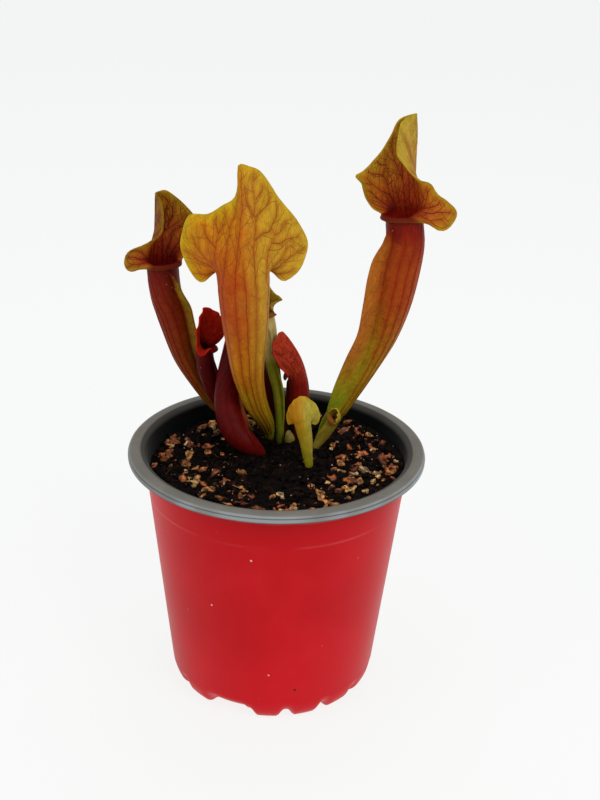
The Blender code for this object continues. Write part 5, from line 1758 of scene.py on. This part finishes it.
@dataclass
class Peat:
    """The block of peat, whose surface is crumbled and strewn with bark, grit and fibres."""

    size: Surround = Surround()
    gap: float = 0.3
    level: float = 98.2
    slope: float = 0.035
    roughness: float = 1.1
    clod: float = 7.0
    clod_size: float = 3.4
    clod_relief: float = 1.7
    crumb_size: float = 0.9
    crumb_relief: float = 0.4
    crown: tuple[float, float] = (-1.0, 24.0)
    crown_dip: float = 2.2
    crown_dip_radius: float = 12.0
    rings: int = 96
    steps: int = 300
    chip_count: int = 64
    chip_seed: int = 11
    chip_radius: tuple[float, float] = (2.0, 3.8)
    chip_height: tuple[float, float] = (0.9, 1.9)
    chip_belt: tuple[float, float] = (26.0, 48.5)
    chip_keep_out: float = 13.0
    grit_count: int = 620
    grit_size: tuple[float, float] = (0.35, 1.7)
    crumb_count: int = 1700
    loose_size: tuple[float, float] = (0.5, 1.8)
    fibre_count: int = 170
    fibre_length: tuple[float, float] = (2.5, 9.0)
    fibre_radius: tuple[float, float] = (0.09, 0.24)
    fibre_lift: tuple[float, float] = (0.1, 0.7)
    fibre_steps: int = 8
    lump_tilt: float = 0.6
    bark_seed: int = 5
    crumb_seed: int = 8
    fibre_seed: int = 21

    def __post_init__(self) -> None:
        """Place the large chips where the solid has its mounds."""
        draw = random.Random(self.chip_seed)
        self.placed: list[tuple[float, float, float, float]] = []
        while len(self.placed) < self.chip_count:
            x, y = self.scatter(draw, *self.chip_belt)
            radius = draw.uniform(*self.chip_radius)
            height = draw.uniform(*self.chip_height)
            clear = all(math.hypot(x - a, y - b) > 0.8 * (radius + c) for a, b, c, _ in self.placed)
            if clear and math.hypot(x - self.crown[0], y - self.crown[1]) > self.chip_keep_out:
                self.placed.append((x, y, radius, height))

    def wall_slope(self) -> float:
        """Give how far the pot's wall leans out for each millimetre up."""
        s = self.size
        return (s.neck_radius - s.heel_radius) / (s.neck_height - s.heel_height)

    def edge(self) -> float:
        """Give the radius of the surface's edge."""
        s = self.size
        return s.heel_radius - self.gap + self.wall_slope() * (self.level - s.heel_height)

    def ground(self, x: float, y: float) -> float:
        """Find the height of the surface without its crumbs.

        Args:
            x: Place along X.
            y: Place along Y.

        Returns:
            The height.
        """
        height = self.level + self.slope * x
        height += self.roughness * noise.noise(Vector((x / self.clod, y / self.clod, 3.0)))
        to_crown = math.hypot(x - self.crown[0], y - self.crown[1])
        return height - self.crown_dip * (1 - smoothstep(0.0, self.crown_dip_radius, to_crown))

    def surface(self, x: float, y: float) -> float:
        """Find the height of the crumbled surface.

        Args:
            x: Place along X.
            y: Place along Y.

        Returns:
            The height.
        """
        bump = max(
            chip_height * 0.55 * (1 - smoothstep(0.3, 1.1, math.hypot(x - a, y - b) / radius))
            for a, b, radius, chip_height in self.placed
        )
        clods = noise.turbulence(Vector((x / self.clod_size, y / self.clod_size, 7.0)), 4, True)
        crumbs = noise.noise(Vector((x / self.crumb_size, y / self.crumb_size, 1.0)))
        return self.ground(x, y) + bump + self.clod_relief * (clods - 0.55) + self.crumb_relief * crumbs

    def build(self) -> list[bpy.types.Object]:
        """Build the block and what lies on it.

        Returns:
            The pieces.
        """
        return [self.block(), self.chips(), self.crumbs(), self.fibres()]

    def block(self) -> bpy.types.Object:
        """Turn the block and crumble its surface.

        Returns:
            The piece.
        """
        edge, floor = self.edge(), self.size.sheet + self.gap
        line = [Vector((edge * k / self.rings, self.level)) for k in range(self.rings + 1)]
        line += rounded_line([(edge - 0.2, self.level - 2.5), *self.size.heel(self.gap, floor)], 6.0)
        line.append(Vector((0.0, floor)))
        shape = turn_line(line, self.steps)
        self.size.lift_base(shape, floor)
        for vertex in shape.verts:
            x, y, z = vertex.co
            if z > self.level - 1.0:
                height = self.surface(x, y)
                radius = math.hypot(x, y)
                if radius > edge - 0.1:
                    height = min(height, self.level + 2.0)
                    widened = (edge + self.wall_slope() * (height - self.level)) / radius
                    vertex.co.x, vertex.co.y = x * widened, y * widened
                vertex.co.z = height
        piece = finish_mesh("peat", shape, self.peat_finish())
        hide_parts("soil")
        return piece

    def lump(
        self, shape: Shape, draw: random.Random, centre: Vector, half: tuple[float, float, float],
        finer: int,
    ) -> None:
        """Add one rough rounded lump.

        Args:
            shape: Shape to add to, with a UV map named tint.
            draw: Source of its chances.
            centre: Its middle.
            half: Half its length, width and height.
            finer: Subdivisions of the ball that it is shaped from.
        """
        turn = (
            Matrix.Rotation(draw.uniform(0, 2 * math.pi), 3, "Z")
            @ Matrix.Rotation(draw.uniform(-self.lump_tilt, self.lump_tilt), 3, "X")
            @ Matrix.Rotation(draw.uniform(-self.lump_tilt, self.lump_tilt), 3, "Y")
        )
        ball = bmesh.ops.create_icosphere(shape, subdivisions=finer, radius=1.0, calc_uvs=False)
        phase = Vector((draw.uniform(0, 90), draw.uniform(0, 90), draw.uniform(0, 90)))
        hue, light = draw.random(), draw.uniform(0.45, 1.0)
        tint = shape.loops.layers.uv["tint"]
        hollow = Vector((draw.uniform(-0.9, 0.9), draw.uniform(-0.9, 0.9), 1.0)).normalized()
        depth = draw.uniform(0.1, 0.55)
        for vertex in ball["verts"]:
            # curled bark: painted shade in its hollow and a painted highlight on the rolled edge round it
            facing = vertex.co.normalized().dot(hollow)
            dent = smoothstep(0.45, 0.95, facing)
            edge = smoothstep(0.1, 0.5, facing) * (1 - smoothstep(0.55, 0.8, facing))
            shade = light * (0.55 + 0.65 * edge) * (1 - 0.6 * dent)
            for loop in vertex.link_loops:
                loop[tint].uv = (hue, shade)
            rough = 0.6 * noise.noise(vertex.co * 1.3 + phase) + 0.45 * noise.noise(vertex.co * 3.1 + phase)
            spot = vertex.co * (1 + rough) * (1 - depth * dent)
            vertex.co = centre + turn @ Vector((spot.x * half[0], spot.y * half[1], spot.z * half[2]))

    def scatter(self, draw: random.Random, low: float, high: float) -> tuple[float, float]:
        """Draw an even place on a ring of the surface.

        Args:
            draw: Source of its chances.
            low: Least distance from the axis.
            high: Largest distance from the axis.

        Returns:
            The place along X and Y.
        """
        angle = draw.uniform(0, 2 * math.pi)
        belt = draw.uniform(low * low, high * high) ** 0.5
        return belt * math.sin(angle), -belt * math.cos(angle)

    def chips(self) -> bpy.types.Object:
        """Build the bark chips and the grit.

        Returns:
            The piece.
        """
        draw = random.Random(self.bark_seed)
        shape = bmesh.new()
        shape.loops.layers.uv.new("tint")
        for x, y, radius, height in self.placed:
            long, wide = radius * draw.uniform(0.6, 0.9), radius * draw.uniform(0.4, 0.6)
            tall = max(1.0, height * 0.9)
            spot = Vector((x, y, self.ground(x, y) + height * 0.45))
            self.lump(shape, draw, spot, (long, wide, tall), 3)
            for _ in range(draw.randint(0, 3)):
                size = draw.uniform(0.5, 1.3)
                angle = draw.uniform(0, 2 * math.pi)
                a, b = x + radius * math.sin(angle), y + radius * math.cos(angle)
                if math.hypot(a, b) < self.edge() - 1.5:
                    beside = Vector((a, b, self.surface(a, b) + size * 0.3))
                    self.lump(shape, draw, beside, (size, size * 0.8, size * 0.7), 1)
        for _ in range(self.grit_count):
            x, y = self.scatter(draw, 10.0, self.edge() - 1.5)
            if math.hypot(x - self.crown[0], y - self.crown[1]) < self.chip_keep_out - 3.0:
                continue
            # bark gathers in drifts, with little of it in the middle of the pot
            drift = smoothstep(-0.05, 0.35, noise.noise(Vector((x / 13, y / 13, 40.0))))
            if draw.random() > smoothstep(8.0, 34.0, math.hypot(x, y)) * (0.25 + 0.75 * drift) + 0.06:
                continue
            size = self.grit_size[0] + self.grit_size[1] * draw.random() ** 2
            spot = Vector((x, y, self.surface(x, y) + size * 0.25))
            self.lump(shape, draw, spot, (size * 1.1, size * 0.8, size * 0.7), 2 if size > 0.9 else 1)
        piece = finish_mesh("bark_chips", shape, self.chip_finish())
        return piece

    def crumbs(self) -> bpy.types.Object:
        """Build loose crumbs of dark peat.

        Returns:
            The piece.
        """
        draw = random.Random(self.crumb_seed)
        shape = bmesh.new()
        shape.loops.layers.uv.new("tint")
        for _ in range(self.crumb_count):
            x, y = self.scatter(draw, 0.0, self.edge() - 1.6)
            size = self.loose_size[0] + self.loose_size[1] * draw.random() ** 2
            spot = Vector((x, y, self.surface(x, y) + size * 0.2))
            self.lump(shape, draw, spot, (size, size * 0.8, size * 0.7), 1)
        piece = finish_mesh("peat_crumbs", shape, self.peat_finish("peat_crumb"))
        piece.data.shade_flat()
        return piece

    def fibres(self) -> bpy.types.Object:
        """Build brown fibres and thin sticks that lie in the peat.

        Returns:
            The piece.
        """
        draw = random.Random(self.fibre_seed)
        shape = bmesh.new()
        tint = shape.loops.layers.uv.new("tint")
        for _ in range(self.fibre_count):
            x, y = self.scatter(draw, 0.0, self.edge() - 3.0)
            heading = draw.uniform(0, 2 * math.pi)
            bend = draw.gauss(0, 0.22)
            length = draw.uniform(*self.fibre_length)
            thick = draw.uniform(*self.fibre_radius)
            lift = draw.uniform(*self.fibre_lift)
            count = self.fibre_steps
            path = []
            for k in range(count + 1):
                if math.hypot(x, y) > self.edge() - 0.6:
                    break
                arch = lift * math.sin(math.pi * k / count)
                path.append((Vector((x, y, self.surface(x, y) + arch)), thick * (1 - 0.5 * abs(2 * k / count - 1))))
                x += math.cos(heading) * length / count
                y += math.sin(heading) * length / count
                heading += bend + draw.gauss(0, 0.12)
            if len(path) < 4:
                continue
            mark = (draw.random(), draw.random())
            for face in loft_rod(shape, path, 4):
                for loop in face.loops:
                    loop[tint].uv = mark
        bmesh.ops.recalc_face_normals(shape, faces=shape.faces)
        piece = finish_mesh("peat_fibres", shape, self.fibre_finish())
        return piece

    def peat_finish(self, name: str = "peat") -> bpy.types.Material:
        """Lay out damp black peat with brown flecks and painted glints.

        Args:
            name: Name of the material.

        Returns:
            The material.
        """
        g = Graph(name)
        place = g.object_place()
        coarse = g.noise(place, 260.0, 5.0, 0.65)
        fine = g.noise(place, 1300.0, 4.0, 0.7)
        colour = g.ramp(coarse, (
            (0.3, (0.001, 0.0006, 0.0005)), (0.52, (0.003, 0.0015, 0.001)), (0.62, (0.014, 0.005, 0.003)),
            (0.8, (0.10, 0.035, 0.014)),
        ))
        flecks = g.times(g.ease(fine, 0.62, 0.75), g.ease(coarse, 0.4, 0.6))
        colour = g.mix(g.times(flecks, 0.5), colour, (0.16, 0.05, 0.02))
        # painted glints: rare pale specks that stand in for the sparkle of the wet peat
        glint_cells = g.node("TexVoronoi", Vector=place, Scale=620.0)
        rare = g.node("SeparateColor", Color=glint_cells.outputs["Color"])
        glint = g.times(g.ease(glint_cells.outputs["Distance"], 0.26, 0.14), g.ease(rare.outputs[0], 0.93, 0.95))
        colour = g.mix(glint, colour, (0.55, 0.40, 0.28))
        height = g.plus(g.times(coarse, 1.2), g.times(fine, 0.8))
        return g.shade(
            Base_Color=colour, Roughness=g.plus(g.times(fine, 0.5), 0.45), Normal=g.bump(height, 0.9, 0.0009),
            Specular_IOR_Level=0.08,
        )

    def chip_finish(self) -> bpy.types.Material:
        """Lay out bark and grit, each piece with its own tint, painted shade and painted highlight.

        Returns:
            The material.
        """
        g = Graph("bark_and_grit")
        place = g.object_place()
        tint = g.node("SeparateXYZ", Vector=g.uv("tint"))
        colour = g.ramp(tint.outputs["X"], (
            (0.0, (0.14, 0.026, 0.008)), (0.3, (0.40, 0.10, 0.022)), (0.6, (0.60, 0.23, 0.05)),
            (0.85, (0.76, 0.42, 0.13)), (1.0, (0.84, 0.60, 0.30)),
        ))
        grain = g.noise(place, 520.0, 5.0, 0.65)
        # bark is browner in the hollows of its grain, a painted shade, and paler on the raised grain, a painted
        # highlight
        colour = g.mix(g.ease(grain, 0.52, 0.36), colour, (0.12, 0.028, 0.010))
        colour = g.mix(g.times(g.ease(grain, 0.58, 0.72), 0.7), colour, (0.80, 0.58, 0.34))
        # each piece's brightness, which holds the painted shade of its hollow and the painted highlight of its rolled
        # edge
        shade = g.plus(g.times(tint.outputs["Y"], 1.6), 0.04)
        light = g.node("CombineColor", Red=shade, Green=shade, Blue=shade)
        colour = g.mix(1.0, colour, light.outputs[0], "MULTIPLY")
        # near-black patches over the chips
        dark_patches = g.ease(g.noise(place, 210.0, 4.0, 0.7), 0.54, 0.64)
        colour = g.mix(g.times(dark_patches, 0.7), colour, (0.010, 0.005, 0.003))
        return g.shade(Base_Color=colour, Roughness=0.42, Specular_IOR_Level=0.3, Normal=g.bump(grain, 0.8, 0.0006))

    def fibre_finish(self) -> bpy.types.Material:
        """Lay out brown plant fibre, each strand with its own tint.

        Returns:
            The material.
        """
        g = Graph("fibre")
        tint = g.node("SeparateXYZ", Vector=g.uv("tint"))
        colour = g.ramp(tint.outputs["X"], (
            (0.0, (0.010, 0.004, 0.003)), (0.6, (0.03, 0.012, 0.006)), (0.9, (0.09, 0.035, 0.014)),
            (1.0, (0.28, 0.15, 0.07)),
        ))
        grain = g.noise(g.object_place(), 1200.0, 3.0)
        colour = g.mix(g.ease(grain, 0.6, 0.4), colour, (0.015, 0.008, 0.005))
        return g.shade(Base_Color=colour, Roughness=0.7, Specular_IOR_Level=0.1, Normal=g.bump(grain, 0.5, 0.0002))


def loft_rod(shape: Shape, path: list[tuple[Vector, float]], sides: int) -> list[bmesh.types.BMFace]:
    """Add a closed rod along a path by wrapping a grid round it.

    Args:
        shape: Shape to add to.
        path: Place and radius of each ring.
        sides: Faces round the rod.

    Returns:
        The rod's faces.
    """
    rings = [path[0], *path, path[-1]]
    made = bmesh.ops.create_grid(shape, x_segments=sides, y_segments=len(rings) - 1, size=1.0, calc_uvs=False)
    across = Vector((0.0, 0.0, 1.0))
    frames = []
    for k in range(len(path)):
        along = path[min(k + 1, len(path) - 1)][0] - path[max(k - 1, 0)][0]
        along.normalize()
        if abs(along.dot(across)) > 0.98:
            across = Vector((1.0, 0.0, 0.0))
        across = (across - along * along.dot(across)).normalized()
        frames.append((across.copy(), along.cross(across)))
    frames = [frames[0], *frames, frames[-1]]
    faces = {face for vertex in made["verts"] for face in vertex.link_faces}
    for vertex in made["verts"]:
        turn = math.pi * (vertex.co.x + 1)
        ring = round((vertex.co.y + 1) / 2 * (len(rings) - 1))
        centre, radius = rings[ring]
        first, second = frames[ring]
        if ring in (0, len(rings) - 1):
            radius = 0.0
        vertex.co = centre + (first * math.cos(turn) + second * math.sin(turn)) * radius
    bmesh.ops.remove_doubles(shape, verts=made["verts"], dist=0.0005)
    return [face for face in faces if face.is_valid]


@dataclass
class Rhizome:
    """The underground stem with the olive bud that stands in the crown."""

    depth: float = 86.4
    radius: float = 3.9
    paths: tuple[Keys, ...] = (
        (
            (14.0, -3.0, 0.75), (7.0, 1.5, 0.9), (-2.0, 6.5, 1.0), (-6.0, 14.0, 1.05), (-8.0, 22.5, 1.1),
            (-9.5, 29.5, 0.8),
        ),
        ((-5.0, 24.5, 0.85), (3.0, 26.5, 1.05), (10.5, 25.5, 1.0), (17.5, 20.5, 0.8)),
    )
    bud: Keys = (
        (5.2, 24.0, 87.0, 1.6), (5.6, 21.5, 94.0, 1.7), (5.0, 20.0, 98.5, 2.2), (4.6, 19.6, 101.0, 1.7),
        (4.4, 19.6, 103.0, 0.8),
    )

    def build(self) -> bpy.types.Object:
        """Loft the branches and the bud.

        Returns:
            The piece.
        """
        shape = bmesh.new()
        for path in self.paths:
            keys = tuple((float(k), x, y, self.depth, self.radius * share) for k, (x, y, share) in enumerate(path))
            self.rod(shape, keys)
        self.rod(shape, tuple((float(k), *point) for k, point in enumerate(self.bud)))
        bmesh.ops.recalc_face_normals(shape, faces=shape.faces)
        piece = finish_mesh("rhizome_and_bud", shape, self.finish())
        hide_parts("rhizome")
        return piece

    def rod(self, shape: Shape, keys: Keys) -> None:
        """Add one smooth rod with faint growth rings.

        Args:
            shape: Shape to add to.
            keys: A parameter, a place and a radius for each key.
        """
        count = 14 * (len(keys) - 1)
        path = []
        for k in range(count + 1):
            x, y, z, radius = smooth_key(keys, keys[-1][0] * k / count)
            ring = 1 + 0.035 * math.sin(k * 1.1)
            path.append((Vector((x, y, z)), radius * ring))
        loft_rod(shape, path, 20)

    def finish(self) -> bpy.types.Material:
        """Lay out brown bark that turns olive at the bud.

        Returns:
            The material.
        """
        g = Graph("rhizome_skin")
        place = g.object_place()
        z = g.node("SeparateXYZ", Vector=place).outputs["Z"]
        grain = g.noise(place, 420.0, 4.0, 0.6)
        bark = g.mix(g.ease(grain, 0.3, 0.7), (0.03, 0.014, 0.008), (0.09, 0.045, 0.022))
        bud = g.mix(g.ease(grain, 0.35, 0.65), (0.20, 0.15, 0.02), (0.36, 0.28, 0.045))
        colour = g.mix(g.ease(z, 0.094, 0.0985), bark, bud)
        return g.shade(Base_Color=colour, Roughness=0.5, Normal=g.bump(grain, 0.5, 0.0005))


@dataclass
class Studio:
    """The pale floor, the soft lights and the camera."""

    floor_half: float = 6.0
    floor_tone: Colour = (0.12, 0.12, 0.12)
    world_strength: float = 0.38
    world_tone: Colour = (1.0, 1.0, 1.0)
    seen_tone: Colour = (0.93, 0.945, 0.94)
    floor_glow: float = 0.85
    camera_place: tuple[float, float, float] = (8.79, -474.08, 337.0)
    camera_drop: float = 23.99
    camera_roll: float = 1.73
    lens: float = 58.5
    # name, place and aim in metres, width, height, watts and colour
    lamps: tuple = (
        ("key", (0.62, -0.78, 1.0), (0.0, 0.0, 0.12), 0.7, 0.7, 6.6, (1.0, 0.985, 0.96)),
        ("fill", (-0.85, -0.55, 0.75), (0.0, 0.0, 0.12), 0.7, 0.9, 3.4, (0.98, 0.99, 1.0)),
        ("top", (0.05, 0.35, 1.15), (0.0, 0.0, 0.12), 0.9, 0.7, 3.5, (1.0, 1.0, 1.0)),
    )

    def build(self) -> None:
        """Set up the floor, the world, the lamps and the camera."""
        self.floor()
        world = bpy.data.worlds.new("studio")
        world.use_nodes = True
        tree = world.node_tree
        lighting = tree.nodes["Background"]
        lighting.inputs["Color"].default_value = (*self.world_tone, 1.0)
        lighting.inputs["Strength"].default_value = self.world_strength
        # the backdrop that shows is paler than the light that it gives
        shown = tree.nodes.new("ShaderNodeBackground")
        shown.inputs["Color"].default_value = (*self.seen_tone, 1.0)
        path = tree.nodes.new("ShaderNodeLightPath")
        mixed = tree.nodes.new("ShaderNodeMixShader")
        tree.links.new(path.outputs["Is Camera Ray"], mixed.inputs[0])
        tree.links.new(lighting.outputs[0], mixed.inputs[1])
        tree.links.new(shown.outputs[0], mixed.inputs[2])
        tree.links.new(mixed.outputs[0], tree.nodes["World Output"].inputs["Surface"])
        bpy.context.scene.world = world
        for name, place, aim, width, height, watts, tone in self.lamps:
            light = bpy.data.lights.new(name, "AREA")
            light.shape = "RECTANGLE"
            light.size, light.size_y = width, height
            light.energy = watts
            light.color = tone
            lamp = bpy.data.objects.new(name, light)
            bpy.context.scene.collection.objects.link(lamp)
            lamp.location = place
            lamp.rotation_euler = (Vector(aim) - Vector(place)).to_track_quat("-Z", "Y").to_euler()
        self.camera()
        bpy.context.scene.view_settings.view_transform = "Standard"

    def floor(self) -> None:
        """Lay the pale floor."""
        g = Graph("studio_floor")
        tone = g.noise(g.object_place(), 3.0, 2.0)
        dim = tuple(c * 0.99 for c in self.floor_tone)
        g.shade(
            Base_Color=g.mix(tone, self.floor_tone, dim), Roughness=0.9, Specular_IOR_Level=0.1,
            Emission_Color=(0.985, 1.0, 0.99, 1.0), Emission_Strength=self.floor_glow,
        )
        shape = bmesh.new()
        bmesh.ops.create_grid(shape, x_segments=1, y_segments=1, size=self.floor_half)
        mesh = bpy.data.meshes.new("floor")
        shape.to_mesh(mesh)
        shape.free()
        mesh.materials.append(g.material)
        floor = bpy.data.objects.new("floor", mesh)
        bpy.context.scene.collection.objects.link(floor)

    def camera(self) -> None:
        """Place the camera as the picture was taken: 24 degrees down, with a slight roll."""
        drop, roll = math.radians(self.camera_drop), math.radians(self.camera_roll)
        ahead = Vector((0.0, math.cos(drop), -math.sin(drop)))
        right = Vector((1.0, 0.0, 0.0))
        up = right.cross(ahead)
        across = right * math.cos(roll) + up * math.sin(roll)
        upward = up * math.cos(roll) - right * math.sin(roll)
        data = bpy.data.cameras.new("camera")
        data.lens = self.lens
        data.sensor_width = 36.0
        data.clip_start = 0.01
        camera = bpy.data.objects.new("camera", data)
        bpy.context.scene.collection.objects.link(camera)
        turn = Matrix((across, upward, -ahead)).transposed().to_4x4()
        camera.matrix_world = Matrix.Translation(Vector(self.camera_place) * MM) @ turn
        bpy.context.scene.camera = camera


def main() -> None:
    """Load the frame, build every piece and note the sizes."""
    logging.basicConfig(level=logging.INFO, format="%(name)s: %(message)s")
    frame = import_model()
    LOG.info("solids in the frame: %d", len(frame["nodes"]))
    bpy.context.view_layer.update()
    Studio().build()
    Pot().build()
    Peat().build()
    Rhizome().build()
    for form in LEAVES:
        Leaf(form).build()


if __name__ == "__main__":
    main()
